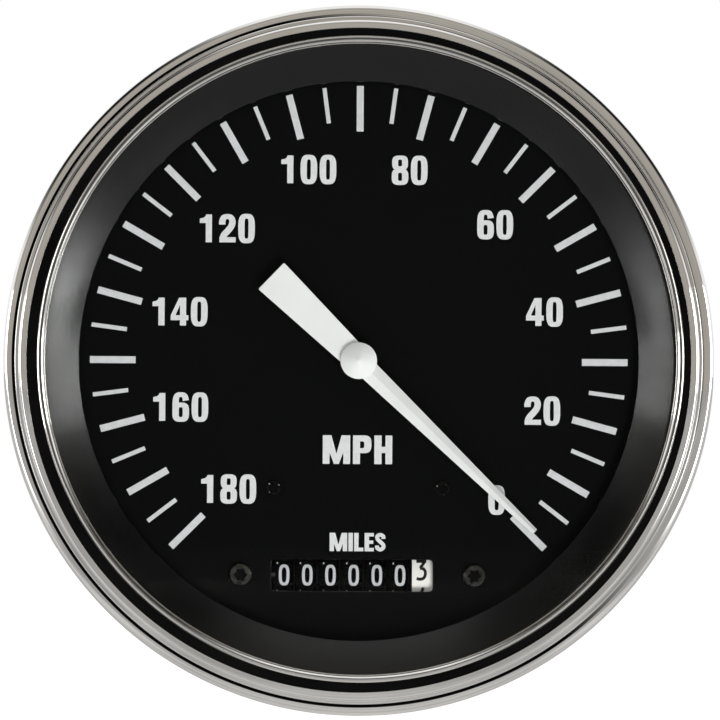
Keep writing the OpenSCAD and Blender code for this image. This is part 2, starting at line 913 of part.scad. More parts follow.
module odometer_screws() {
    color("black")
        forward()
            at_odometer_screws()
                lobe_screw(dial_z, odo_head_d / 2, odo_head_t, odo_shank_d / 2, dial_t + ear_t);
}

module dial_posts() {
    color("gainsboro")
        forward()
            at_posts()
                sleeve(plate_z, dial_back - plate_z, post_d / 2, dial_shank_d / 2 + fit_gap);
}

module bearing_block(y, length) {
    half = cross_d / 2 + block_wall;
    difference() {
        translate([cross_x - half, y, base_z - over])
            cube([2 * half, length, cross_z + half - base_z + over]);
        upright(cross_x, y - over, cross_z)
            cylinder(h = length + 2 * over, r = cross_d / 2 + run_gap);
    }
}

module base_plate() {
    color("lightsteelblue")
        forward() {
            difference() {
                union() {
                    sleeve(floor_z, base_t, base_d / 2);
                    translate([cross_x - tongue_half, tongue_end, floor_z])
                        cube([2 * tongue_half, tongue_top - tongue_end, base_t]);
                }
                sleeve(floor_z - over, base_t + 2 * over, neck_d / 2 + fit_gap);
                at_frame_screws()
                    sleeve(floor_z - over, base_t + 2 * over, frame_shank_d / 2 + fit_gap);
            }
            bearing_block(upper_block_y, block_t);
            bearing_block(lower_block_y, block_t);
        }
}

module pillars() {
    color("gainsboro")
        forward()
            at_pillars()
                sleeve(base_z, plate_back - base_z, pillar_d / 2, pillar_bore_d / 2 + fit_gap);
}

module front_plate() {
    half_w = pillar_x + plate_margin;
    color("lightsteelblue")
        forward()
            difference() {
                translate([-half_w, web_top, plate_back])
                    cube([2 * half_w, pillar_up + plate_margin - web_top, plate_t]);
                sleeve(plate_back - over, plate_t + 2 * over, front_bush_r + fit_gap);
                at_pillars()
                    sleeve(plate_back - over, plate_t + 2 * over, pillar_bore_d / 2 + fit_gap);
            }
}

module plate_screws() {
    color("gainsboro")
        forward()
            at_pillars()
                slot_screw(plate_z, plate_head_d / 2, plate_head_t, pillar_bore_d / 2,
                    plate_t + plate_grip);
}

module bridge() {
    half_w = bridge_x + plate_margin;
    color("khaki")
        forward() {
            difference() {
                translate([-half_w, -bridge_w / 2, bridge_back])
                    cube([2 * half_w, bridge_w, bridge_t]);
                sleeve(bridge_back - over, bridge_t + 2 * over, spindle_bush_r + fit_gap);
                at_bridge_ends()
                    sleeve(bridge_back - over, bridge_t + 2 * over, pillar_bore_d / 2 + fit_gap);
            }
            translate([0, 0, bridge_z])
                linear_extrude(stop_z - bridge_z)
                    intersection() {
                        difference() {
                            circle(r = stop_out_r);
                            circle(r = stop_in_r);
                        }
                        polygon([[0, 0], 2 * stop_out_r * [-cos(stop_half), sin(stop_half)],
                            2 * stop_out_r * [-cos(stop_half), -sin(stop_half)]]);
                    }
        }
}

module bridge_pillars() {
    color("gainsboro")
        forward()
            at_bridge_ends()
                sleeve(plate_z, bridge_back - plate_z, pillar_d / 2, pillar_bore_d / 2 + fit_gap);
}

module bridge_screws() {
    color("gainsboro")
        forward()
            at_bridge_ends()
                slot_screw(bridge_z, plate_head_d / 2, plate_head_t, pillar_bore_d / 2,
                    bridge_t + plate_grip);
}

module spindle_bush() {
    color("goldenrod")
        forward()
            sleeve(bridge_back - bush_stand, bridge_t + 2 * bush_stand, spindle_bush_r,
                spindle_r + run_gap);
}

module rear_drive_bush() {
    color("peru")
        forward()
            sleeve(shaft_end, bush_end - shaft_end, rear_bush_r, rear_journal_d / 2 + run_gap);
}

module front_drive_bush() {
    color("peru")
        forward() {
            sleeve(plate_back - bush_stand, plate_t + bush_stand + over, front_bush_r,
                drive_d / 2 + run_gap);
            sleeve(plate_z, bush_flange_t, front_bush_r + bush_flange, drive_d / 2 + run_gap);
        }
}

module field_ring() {
    color("slategray")
        forward()
            sleeve(plate_z, cup_z - plate_z - field_drop, field_r + field_t, field_r);
}

module hairspring_stud() {
    color("goldenrod")
        forward()
            translate([-spring_end_r - spring_t / 2 - anchor_t, -anchor_w / 2, stop_z])
                cube([anchor_t, anchor_w, spring_z + spring_w + anchor_rise - stop_z]);
}

// Roof-shaped pointer from the hub's edge to the tip
module needle_ridge(start, start_half) {
    tip_half = tip_w / 2;
    tip_h = ridge_h * tip_half / start_half;
    polyhedron(
        points = [[start, -start_half, 0], [start, start_half, 0], [start, 0, ridge_h],
            [needle_len, -tip_half, 0], [needle_len, tip_half, 0], [needle_len, 0, tip_h]],
        faces = [[0, 1, 2], [3, 5, 4], [0, 3, 4, 1], [1, 4, 5, 2], [0, 2, 5, 3]]);
}

module needle() {
    start = hub_d / 2 + fit_gap;
    start_half = needle_w / 2 + (tip_w - needle_w) / 2 * start / needle_len;
    root_half = start_half * (1 - tail_t / ridge_h) / 2;
    color("white")
        forward()
            rotate(needle_turn)
                translate([0, 0, needle_z]) {
                    needle_ridge(start, start_half);
                    linear_extrude(tail_t)
                        difference() {
                            union() {
                                circle(r = hub_d / 2 - fit_gap);
                                translate([0, -start_half])
                                    square([start, 2 * start_half]);
                                translate([0, -root_half])
                                    square([start + over, 2 * root_half]);
                                polygon([[0, -tail_root_w / 2], [0, tail_root_w / 2],
                                    [-tail_len, tail_end_w / 2], [-tail_len, -tail_end_w / 2]]);
                            }
                            circle(r = spindle_r);
                        }
                }
}

module needle_hub() {
    color("white")
        forward()
            rotate(needle_turn)
                difference() {
                    rotate_extrude()
                        polygon([[0, hub_base_z], [hub_d / 2, hub_base_z],
                            [hub_d / 2, hub_base_z + hub_rim],
                            [hub_tip_d / 2, hub_base_z + hub_rim + hub_cone],
                            [0, hub_base_z + hub_rim + hub_cone]]);
                    sleeve(hub_base_z - over, hub_rim + over, spindle_r);
                }
}

module spindle() {
    color("gainsboro")
        forward()
            sleeve(hub_z - pivot_len, hub_base_z + hub_rim - hub_z + pivot_len, spindle_r);
}

module speed_cup() {
    color("whitesmoke")
        forward() {
            sleeve(cup_z - cup_t, cup_t, cup_r, spindle_r);
            sleeve(magnet_back + cup_lip, cup_z - magnet_back - cup_lip, cup_r, cup_in_r);
            sleeve(cup_z - cup_t - cup_hub_rear, cup_hub_rear + cup_t + cup_hub_front,
                spindle_r + cup_hub_wall, spindle_r);
        }
}

module hairspring_collet() {
    color("goldenrod")
        forward() {
            sleeve(collet_z, collet_h, collet_r, spindle_r);
            rotate(arm_turn)
                difference() {
                    translate([0, -arm_w / 2, collet_z])
                        cube([arm_r, arm_w, arm_t]);
                    sleeve(collet_z - over, arm_t + 2 * over, spindle_r);
                }
        }
}

module hairspring() {
    color("silver")
        forward()
            rotate(180 - spring_turns * 360)
                translate([0, 0, spring_z])
                    linear_extrude(spring_w)
                        spiral(collet_r + spring_t / 2 + fit_gap, spring_end_r, spring_turns, spring_t);
}

module drive_shaft() {
    collar_t = 1.2;
    collar_step = 1;
    collar_z = bush_end + end_gap;
    shoulder_t = 1.3;
    shoulder_step = 1.2;
    first_pitch = PI * first_module;
    color("gainsboro")
        forward()
            difference() {
                union() {
                    sleeve(shaft_end, collar_z - shaft_end + collar_t, rear_journal_d / 2);
                    sleeve(collar_z, collar_t, rear_journal_d / 2 + collar_step);
                    sleeve(collar_z, magnet_back - collar_z, drive_d / 2);
                    sleeve(magnet_back - shoulder_t, shoulder_t, hub_r + shoulder_step);
                    sleeve(magnet_back - shoulder_t, hub_z - magnet_back + shoulder_t, hub_r);
                    translate([0, 0, cross_z])
                        worm(first_pitch, first_worm_r, first_tip, first_tip + worm_gap, worm_share, 0);
                }
                sleeve(hub_z - pivot_len - end_gap, pivot_len + end_gap + over, spindle_r + run_gap);
                translate([-socket_w / 2, -socket_w / 2, shaft_end - over])
                    cube([socket_w, socket_w, socket_depth + over]);
            }
}

module magnet() {
    color("slategray")
        forward()
            sleeve(magnet_back, magnet_h, magnet_d / 2, hub_r);
}

module cross_shaft() {
    second_pitch = PI * second_module;
    collar_wall = 0.7;
    collar_y = lower_block_y + block_t + side_play;
    color("gainsboro")
        forward()
            upright(cross_x, 0, cross_z) {
                sleeve(lower_block_y, upper_block_y + block_t - lower_block_y, cross_d / 2);
                sleeve(collar_y, odo_y - worm_len / 2 - collar_y, cross_d / 2 + collar_wall);
                translate([0, 0, odo_y])
                    worm(second_pitch, second_worm_r, second_tip, second_tip + worm_gap, worm_share, -90);
            }
}

module first_worm_wheel() {
    hub_len = 2 * (upper_block_y - side_play);
    color("goldenrod")
        forward()
            upright(cross_x, 0, cross_z) {
                translate([0, 0, -wheel_w / 2])
                    linear_extrude(wheel_w)
                        difference() {
                            rotate(180 / first_teeth)
                                gear_outline(first_teeth, first_r, first_tip, first_tip + worm_gap,
                                    worm_share);
                            circle(r = cross_d / 2);
                        }
                sleeve(-hub_len / 2, hub_len, cross_d / 2 + wheel_hub_wall, cross_d / 2);
            }
}

module lay_shaft() {
    color("gainsboro")
        forward()
            across(lug_x, odo_y, lay_z)
                cylinder(h = plate_right - lug_x, r = lay_d / 2);
}

module second_worm_wheel() {
    hub_x = lug_x + side_t + side_play;
    color("goldenrod")
        forward()
            across(0, odo_y, lay_z) {
                translate([0, 0, cross_x - wheel_w / 2])
                    linear_extrude(wheel_w)
                        difference() {
                            rotate(-90 + 180 / second_teeth)
                                gear_outline(second_teeth, second_r, second_tip, second_tip + worm_gap,
                                    worm_share);
                            circle(r = lay_d / 2);
                        }
                sleeve(hub_x, cross_x + wheel_w / 2 - hub_x, lay_d / 2 + lay_hub_wall, lay_d / 2);
            }
}

module lay_gear() {
    hub_x = cross_x + wheel_w / 2;
    color("goldenrod")
        forward()
            across(0, odo_y, lay_z) {
                translate([0, 0, drive_x])
                    linear_extrude(drive_w)
                        difference() {
                            rotate(90)
                                gear_outline(drive_teeth, drive_r, drive_tip, drive_tip + worm_gap,
                                    tooth_share);
                            circle(r = lay_d / 2);
                        }
                sleeve(hub_x, right_plate_x - side_play - hub_x, lay_d / 2 + lay_hub_wall, lay_d / 2);
            }
}

module odometer_frame() {
    low_y = pinion_y - frame_margin;
    deep_z = lay_z - frame_margin;
    shallow_z = pinion_z - frame_margin;
    ear_end = odo_screw_x + ear_w / 2;
    color("lightsteelblue")
        forward()
            difference() {
                union() {
                    translate([left_plate_x, low_y, shallow_z])
                        cube([side_t, web_top - low_y, dial_back - shallow_z]);
                    translate([right_plate_x, low_y, deep_z])
                        cube([side_t, web_top - low_y, dial_back - deep_z]);
                    translate([left_plate_x, web_y, deep_z])
                        cube([plate_right - left_plate_x, side_t, drum_z + web_front - deep_z]);
                    translate([lug_x, odo_y - frame_margin, deep_z])
                        cube([side_t, web_top - odo_y + frame_margin, 2 * frame_margin]);
                    translate([-ear_end, odo_y - ear_w / 2, dial_back - ear_t])
                        cube([ear_end + left_plate_x + side_t, ear_w, ear_t]);
                    translate([right_plate_x, odo_y - ear_w / 2, dial_back - ear_t])
                        cube([ear_end - right_plate_x, ear_w, ear_t]);
                }
                across(left_plate_x - over, odo_y, drum_z)
                    cylinder(h = plate_right - left_plate_x + 2 * over, r = axle_d / 2 + fit_gap);
                across(left_plate_x - over, pinion_y, pinion_z)
                    cylinder(h = plate_right - left_plate_x + 2 * over, r = pinion_axle_d / 2 + fit_gap);
                across(lug_x - over, odo_y, lay_z)
                    cylinder(h = plate_right - lug_x + 2 * over, r = lay_d / 2 + run_gap);
                at_odometer_screws()
                    sleeve(dial_back - ear_t - over, ear_t + 2 * over, odo_shank_d / 2 + fit_gap);
            }
}

// Axle held in both side plates, with a riveted head at each end
module held_axle(y, z, diameter) {
    length = plate_right - left_plate_x;
    across(left_plate_x, y, z) {
        cylinder(h = length, r = diameter / 2);
        sleeve(-rivet_t, rivet_t, diameter / 2 + rivet_step);
        sleeve(length, rivet_t, diameter / 2 + rivet_step);
    }
}

module odometer_axle() {
    color("gainsboro")
        forward()
            held_axle(odo_y, drum_z, axle_d);
}

module pinion_axle() {
    color("gainsboro")
        forward()
            held_axle(pinion_y, pinion_z, pinion_axle_d);
}

module odometer_gear() {
    hub_x = lowest_x - band_left + tenths_band;
    color("whitesmoke")
        forward()
            across(0, odo_y, drum_z) {
                translate([0, 0, drive_x])
                    linear_extrude(drive_w)
                        difference() {
                            rotate(-90 + 180 / drive_teeth)
                                gear_outline(drive_teeth, drive_r, drive_tip, drive_tip + worm_gap,
                                    tooth_share);
                            circle(r = axle_d / 2 + run_gap);
                        }
                sleeve(hub_x, right_plate_x - side_play - hub_x, axle_d / 2 + wheel_hub_wall,
                    axle_d / 2 + run_gap);
            }
}

// Locking disc with the three gaps that move the next pinion once in each turn
module carry_outline(reading) {
    notch = 90 - (270 - pinion_turn - digit_turn * (carry_reading - reading));
    gap_w = carry_module * PI * notch_share;
    difference() {
        circle(r = lock_r);
        for (i = [-1 : 1])
            rotate(notch + i * 360 / gear_teeth)
                translate([gear_pitch_r - carry_root, -gap_w / 2])
                    square([carry_root * 2, gap_w]);
    }
}

// Drum with its numbered band, its gear to the right and its carry disc to the left
module number_drum(x, band, reading, geared, carrying) {
    across(x, odo_y, drum_z)
        difference() {
            union() {
                sleeve(-band_left, band, drum_r);
                if (geared)
                    translate([0, 0, band - band_left - over / 2])
                        linear_extrude(carry_w + over / 2)
                            rotate(pinion_side + 180 / gear_teeth)
                                gear_outline(gear_teeth, gear_pitch_r, carry_tip, carry_root, tooth_share);
                if (carrying)
                    translate([0, 0, -band_left - carry_w])
                        linear_extrude(carry_w + over / 2)
                            carry_outline(reading);
            }
            sleeve(-drum_pitch, 2 * drum_pitch, axle_d / 2 + run_gap);
        }
}

module geared_drum(place) {
    color("black")
        forward()
            number_drum(lowest_x - place * drum_pitch, band_left + band_right, 0, true, place < drums - 1);
}

module tenths_drum() {
    color("whitesmoke")
        forward()
            number_drum(lowest_x, tenths_band, tenths_reading, false, true);
}

module units_drum() {
    geared_drum(1);
}

module tens_drum() {
    geared_drum(2);
}

module hundreds_drum() {
    geared_drum(3);
}

module thousands_drum() {
    geared_drum(4);
}

module ten_thousands_drum() {
    geared_drum(5);
}

module hundred_thousands_drum() {
    geared_drum(6);
}

// Every other tooth of a pinion between two drums
module pinion_teeth_outline() {
    spur_teeth(pinion_teeth, 2, pinion_pitch_r, carry_tip, carry_root, tooth_share);
}

// Pinion between two drums: eight teeth at the gear, four of them reaching the carry disc
module carry_pinion(place) {
    left = lowest_x - place * drum_pitch + band_right + carry_gap;
    color("ivory")
        forward()
            across(left, pinion_y, pinion_z)
                difference() {
                    union() {
                        sleeve(0, pinion_w, pinion_pitch_r - carry_root);
                        rotate(pinion_turn)
                            linear_extrude(carry_w)
                                pinion_teeth_outline();
                        rotate(pinion_turn + 360 / pinion_teeth)
                            linear_extrude(pinion_w)
                                pinion_teeth_outline();
                    }
                    sleeve(-over, pinion_w + 2 * over, pinion_axle_d / 2 + run_gap);
                }
}

module carry_pinion_1() {
    carry_pinion(1);
}

module carry_pinion_2() {
    carry_pinion(2);
}

module carry_pinion_3() {
    carry_pinion(3);
}

module carry_pinion_4() {
    carry_pinion(4);
}

module carry_pinion_5() {
    carry_pinion(5);
}

module carry_pinion_6() {
    carry_pinion(6);
}

bezel();
bezel_inlay();
lens();
lens_gasket();
trim_ring();
case();
mounting_studs();
cable_nipple();
frame_screws();
lamp_holders();
lamp_terminals();
lamp_bulbs();
dial();
dial_graduations();
dial_screws();
odometer_screws();
dial_posts();
base_plate();
pillars();
front_plate();
plate_screws();
bridge();
bridge_pillars();
bridge_screws();
spindle_bush();
rear_drive_bush();
front_drive_bush();
field_ring();
hairspring_stud();
needle();
needle_hub();
spindle();
speed_cup();
hairspring_collet();
hairspring();
drive_shaft();
magnet();
cross_shaft();
first_worm_wheel();
lay_shaft();
second_worm_wheel();
lay_gear();
odometer_frame();
odometer_axle();
pinion_axle();
odometer_gear();
tenths_drum();
units_drum();
tens_drum();
hundreds_drum();
thousands_drum();
ten_thousands_drum();
hundred_thousands_drum();
carry_pinion_1();
carry_pinion_2();
carry_pinion_3();
carry_pinion_4();
carry_pinion_5();
carry_pinion_6();
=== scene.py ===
import json

import bmesh
import bpy
import numpy as np
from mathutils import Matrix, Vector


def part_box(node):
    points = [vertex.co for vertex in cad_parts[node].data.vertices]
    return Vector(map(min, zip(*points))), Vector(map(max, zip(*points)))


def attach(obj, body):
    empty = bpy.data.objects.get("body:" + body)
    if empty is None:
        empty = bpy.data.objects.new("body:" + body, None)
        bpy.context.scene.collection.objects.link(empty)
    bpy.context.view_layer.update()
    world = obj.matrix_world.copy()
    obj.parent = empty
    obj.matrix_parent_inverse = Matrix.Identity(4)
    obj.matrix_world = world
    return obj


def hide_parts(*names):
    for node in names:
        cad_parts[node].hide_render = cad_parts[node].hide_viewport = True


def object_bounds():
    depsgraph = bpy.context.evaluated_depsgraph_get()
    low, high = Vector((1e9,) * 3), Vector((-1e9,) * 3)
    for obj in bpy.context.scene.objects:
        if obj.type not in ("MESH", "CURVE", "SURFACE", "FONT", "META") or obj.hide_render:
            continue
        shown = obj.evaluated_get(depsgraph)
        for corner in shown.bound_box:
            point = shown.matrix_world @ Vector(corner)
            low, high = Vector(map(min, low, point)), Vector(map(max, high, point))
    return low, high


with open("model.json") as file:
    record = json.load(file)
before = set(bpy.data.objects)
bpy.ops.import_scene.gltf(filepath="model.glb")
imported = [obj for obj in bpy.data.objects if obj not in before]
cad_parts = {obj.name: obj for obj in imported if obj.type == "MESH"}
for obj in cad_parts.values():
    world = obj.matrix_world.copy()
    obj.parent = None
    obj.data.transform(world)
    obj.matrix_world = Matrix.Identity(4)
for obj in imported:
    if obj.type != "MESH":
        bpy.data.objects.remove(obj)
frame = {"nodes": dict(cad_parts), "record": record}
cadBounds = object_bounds()
mm = 0.001
mergeWithin = 1e-7  # metres
scene = bpy.context.scene


# Small geometry helpers

# Across, up and toward the viewer, in mm, become the frame's x, z and -y in metres.
def toFrame(across, up, front):
    across, up, front = np.broadcast_arrays(across, up, front)
    return np.stack([across, -front, up], axis=-1) * mm


# One quad between each four neighbours of a grid; a wrapped side joins its end to its start.
def gridFaces(rows, cols, wrapRows=False, wrapCols=False):
    index = np.arange(rows * cols).reshape(rows, cols)
    if wrapRows:
        index = np.vstack([index, index[:1]])
    if wrapCols:
        index = np.hstack([index, index[:, :1]])
    quads = [index[:-1, :-1], index[1:, :-1], index[1:, 1:], index[:-1, 1:]]
    return np.stack(quads, axis=-1).reshape(-1, 4)


# Grids put end to end: each one's faces count on from the vertices before it.
def joined(grids):
    starts = np.cumsum([0] + [len(points) for points, quads in grids])[:-1]
    points = np.vstack([grid[0] for grid in grids])
    quads = np.vstack([grid[1] + start for grid, start in zip(grids, starts)])
    return points, quads


# A circular arc: centre + radius * (cos a, sin a) from one angle to another, in degrees.
def arc(centre, radius, start, stop, count):
    turn = np.radians(np.linspace(start, stop, count))
    return np.stack([centre[0] + radius * np.cos(turn), centre[1] + radius * np.sin(turn)], axis=-1)


# A superellipse: centre + (a |cos t|^(2/p), b |sin t|^(2/p)) with the signs of cos and sin kept.
def oval(centre, half, power, start=0.0, stop=360.0, count=49):
    turn = np.radians(np.linspace(start, stop, count))
    cosine, sine = np.cos(turn), np.sin(turn)
    return np.stack([centre[0] + half[0] * np.sign(cosine) * np.abs(cosine) ** (2 / power),
                     centre[1] + half[1] * np.sign(sine) * np.abs(sine) ** (2 / power)], axis=-1)


# The four corners of a box between two limits each way.
def boxCorners(across, up):
    return [(across[0], up[0]), (across[1], up[0]), (across[1], up[1]), (across[0], up[1])]


# The rim of a round plate in (radius, front), from its front to its back, with both edges cut off.
def chamferedRim(radius, back, front, cut):
    return [(radius - cut, front), (radius, front - cut), (radius, back + cut), (radius - cut, back)]


# Each corner of a closed outline is cut back on both sides, by no more than a share of the side, and
# bridged by the quadratic curve (1-t)^2 a + 2t(1-t) corner + t^2 b.
def softened(outline, cut, steps=5, most=0.45):
    corner = np.asarray(outline, float)
    before, after = np.roll(corner, 1, axis=0) - corner, np.roll(corner, -1, axis=0) - corner
    lengthBefore, lengthAfter = np.linalg.norm(before, axis=1), np.linalg.norm(after, axis=1)
    a = corner + before * (np.minimum(cut, most * lengthBefore) / lengthBefore)[:, None]
    b = corner + after * (np.minimum(cut, most * lengthAfter) / lengthAfter)[:, None]
    t = np.linspace(0, 1, steps)[None, :, None]
    bridge = (1 - t) ** 2 * a[:, None] + 2 * t * (1 - t) * corner[:, None] + t ** 2 * b[:, None]
    return bridge.reshape(-1, 2)


# A full turn in even steps, in radians.
def fullTurn(steps):
    return np.linspace(0, 2 * np.pi, steps, endpoint=False)


# A surface round an axis that faces the viewer: across = r cos a, up = r sin a about a middle, with
# the reach r and the front given for each angle a.
def polarGrid(reach, front, middle=(0.0, 0.0), closed=False):
    turn = fullTurn(len(reach))[:, None]
    points = toFrame(middle[0] + reach * np.cos(turn), middle[1] + reach * np.sin(turn), front)
    return points.reshape(-1, 3), gridFaces(*reach.shape, True, closed)


# A section of (radius, front) points turned about such an axis.
def turned(section, steps, middle=(0.0, 0.0), closed=True):
    radius, front = np.asarray(section, float).T
    return polarGrid(np.tile(radius, (steps, 1)), front[None, :], middle, closed)


# A grid becomes a smooth piece: doubles merged, faces turned outward, folds past the angle kept crisp.
# It has the finish of its slot, or a paint of its own.
def addPiece(name, grid, slot, standsFor=(), paint=None, body="housing", crisp=32.0):
    mesh = bpy.data.meshes.new(name)
    mesh.from_pydata(grid[0].tolist(), [], grid[1].tolist())
    work = bmesh.new()
    work.from_mesh(mesh)
    bmesh.ops.remove_doubles(work, verts=work.verts, dist=mergeWithin)
    bmesh.ops.recalc_face_normals(work, faces=work.faces)
    work.to_mesh(mesh)
    work.free()
    mesh.shade_smooth()
    mesh.set_sharp_from_angle(angle=np.radians(crisp))
    mesh.materials.append(paint or finishes[slot])
    piece = bpy.data.objects.new(name, mesh)
    scene.collection.objects.link(piece)
    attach(piece, body)
    if standsFor:
        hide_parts(*standsFor)


# Finishes

# A new material, ready for nodes, and its node tree.
def newMaterial(name):
    material = bpy.data.materials.new(name)
    material.use_nodes = True
    return material, material.node_tree


# A new node: its settings are set, then each socket takes a fixed value or another node's output.
def addNode(tree, kind, sockets=(), **settings):
    node = tree.nodes.new("ShaderNode" + kind)
    for setting, value in settings.items():
        setattr(node, setting, value)
    for socket, value in dict(sockets).items():
        if isinstance(value, bpy.types.NodeSocket):
            tree.links.new(value, node.inputs[socket])
        else:
            node.inputs[socket].default_value = value
    return node


# One sum on numbers: first (operation) second, or first * second + third for MULTIPLY_ADD.
def mathNode(tree, operation, *values):
    return addNode(tree, "Math", enumerate(values), operation=operation).outputs["Value"]


# Numbers multiplied one after the other.
def product(tree, result, *factors):
    for factor in factors:
        result = mathNode(tree, "MULTIPLY", result, factor)
    return result


# The smooth step 3t^2 - 2t^3, where t is the value's place between two limits.
def stepped(tree, value, limits):
    sockets = {"Value": value, "From Min": limits[0], "From Max": limits[1]}
    return addNode(tree, "MapRange", sockets, interpolation_type="SMOOTHSTEP").outputs["Result"]


# The value's place between two limits, carried over to the same place between two results.
def ranged(tree, value, limits, results):
    sockets = {"Value": value, "From Min": limits[0], "From Max": limits[1],
               "To Min": results[0], "To Max": results[1]}
    return addNode(tree, "MapRange", sockets).outputs["Result"]


# A colour between two others: first * (1 - share) + second * share.
def mixed(tree, share, first, second):
    return addNode(tree, "Mix", {0: share, 6: first, 7: second}, data_type="RGBA").outputs[2]


# Layered noise between 0 and 1, read at a place.
def noise(tree, place, scale, detail):
    sockets = {"Vector": place, "Scale": scale, "Detail": detail}
    return addNode(tree, "TexNoise", sockets).outputs["Fac"]


# A place's offset (x, 0, z) from the dial's axis and the length of that offset.
def fromAxis(tree, place):
    flat = {0: place, 1: (1.0, 0.0, 1.0)}
    offset = addNode(tree, "VectorMath", flat, operation="MULTIPLY").outputs["Vector"]
    return offset, addNode(tree, "VectorMath", {0: offset}, operation="LENGTH").outputs["Value"]


# What all paint, plate and plastic share: how the noises are read, and the grain's height in metres.
surface = {"patchDetail": 7.0, "patchLimits": (0.32, 0.68), "glossLimits": (0.3, 0.7),
           "grainDetail": 3.0, "grainHeight": 0.00005, "lineWidth": 3.0, "lineDetail": 2.0,
           "lineLimits": (0.3, 0.55), "lineTone": (0.82, 1.0)}


# A broad noise on Object coordinates shades the colour and the gloss, a fine one raises the grain.
# With rings on, the fine noise reads (radius, depth), so that it lies in turned lines, and a wider
# one dims the colour in the same lines: colour * tone of the line.
def finish(name, tone, shade, gloss, metal=0.0, broad=70.0, fine=2500.0, grain=0.0,
           rings=False, shine=0.5):
    material, tree = newMaterial(name)
    shader = tree.nodes["Principled BSDF"]
    shader.inputs["Metallic"].default_value = metal
    shader.inputs["Specular IOR Level"].default_value = shine
    place = addNode(tree, "TexCoord").outputs["Object"]
    patches = noise(tree, place, broad, surface["patchDetail"])
    ramp = addNode(tree, "ValToRGB", {"Fac": patches})
    for element, position, paint in zip(ramp.color_ramp.elements, surface["patchLimits"], (shade, tone)):
        element.position = position
        element.color = (*paint, 1.0)
    colour = ramp.outputs["Color"]
    tree.links.new(ranged(tree, patches, surface["glossLimits"], gloss), shader.inputs["Roughness"])
    if rings:
        depth = addNode(tree, "SeparateXYZ", {"Vector": place}).outputs["Y"]
        radius = fromAxis(tree, place)[1]
        place = addNode(tree, "CombineXYZ", {"X": radius, "Y": depth}).outputs["Vector"]
        lines = noise(tree, place, fine / surface["lineWidth"], surface["lineDetail"])
        dim = ranged(tree, lines, surface["lineLimits"], surface["lineTone"])
        colour = addNode(tree, "VectorMath", {0: colour, "Scale": dim}, operation="SCALE").outputs["Vector"]
    if grain:
        speckle = noise(tree, place, fine, surface["grainDetail"])
        relief = addNode(tree, "Bump", {"Strength": grain, "Distance": surface["grainHeight"],
                                        "Height": speckle})
        tree.links.new(relief.outputs["Normal"], shader.inputs["Normal"])
    tree.links.new(colour, shader.inputs["Base Color"])
    return material


glass = {"wipeScale": 90.0, "wipeDetail": 5.0, "blend": 0.5, "power": 5.0}


# Flat instrument glass: clear straight through, with a share of slightly smeared gloss that grows
# with the fifth power of the slant: share = least + most * facing^5.
def clearFinish(name, tint, least, most, smear):
    material, tree = newMaterial(name)
    tree.nodes.remove(tree.nodes["Principled BSDF"])
    through = addNode(tree, "BsdfTransparent", {"Color": (*tint, 1.0)})
    facing = addNode(tree, "LayerWeight", {"Blend": glass["blend"]}).outputs["Facing"]
    steep = mathNode(tree, "POWER", facing, glass["power"])
    share = mathNode(tree, "MULTIPLY_ADD", steep, most, least)
    place = addNode(tree, "TexCoord").outputs["Object"]
    wipe = noise(tree, place, glass["wipeScale"], glass["wipeDetail"])
    gloss = addNode(tree, "BsdfGlossy", {"Roughness": ranged(tree, wipe, (0.0, 1.0), smear)})
    mix = addNode(tree, "MixShader", {"Fac": share, 1: through.outputs["BSDF"], 2: gloss.outputs["BSDF"]})
    tree.links.new(mix.outputs["Shader"], tree.nodes["Material Output"].inputs["Surface"])
    return material


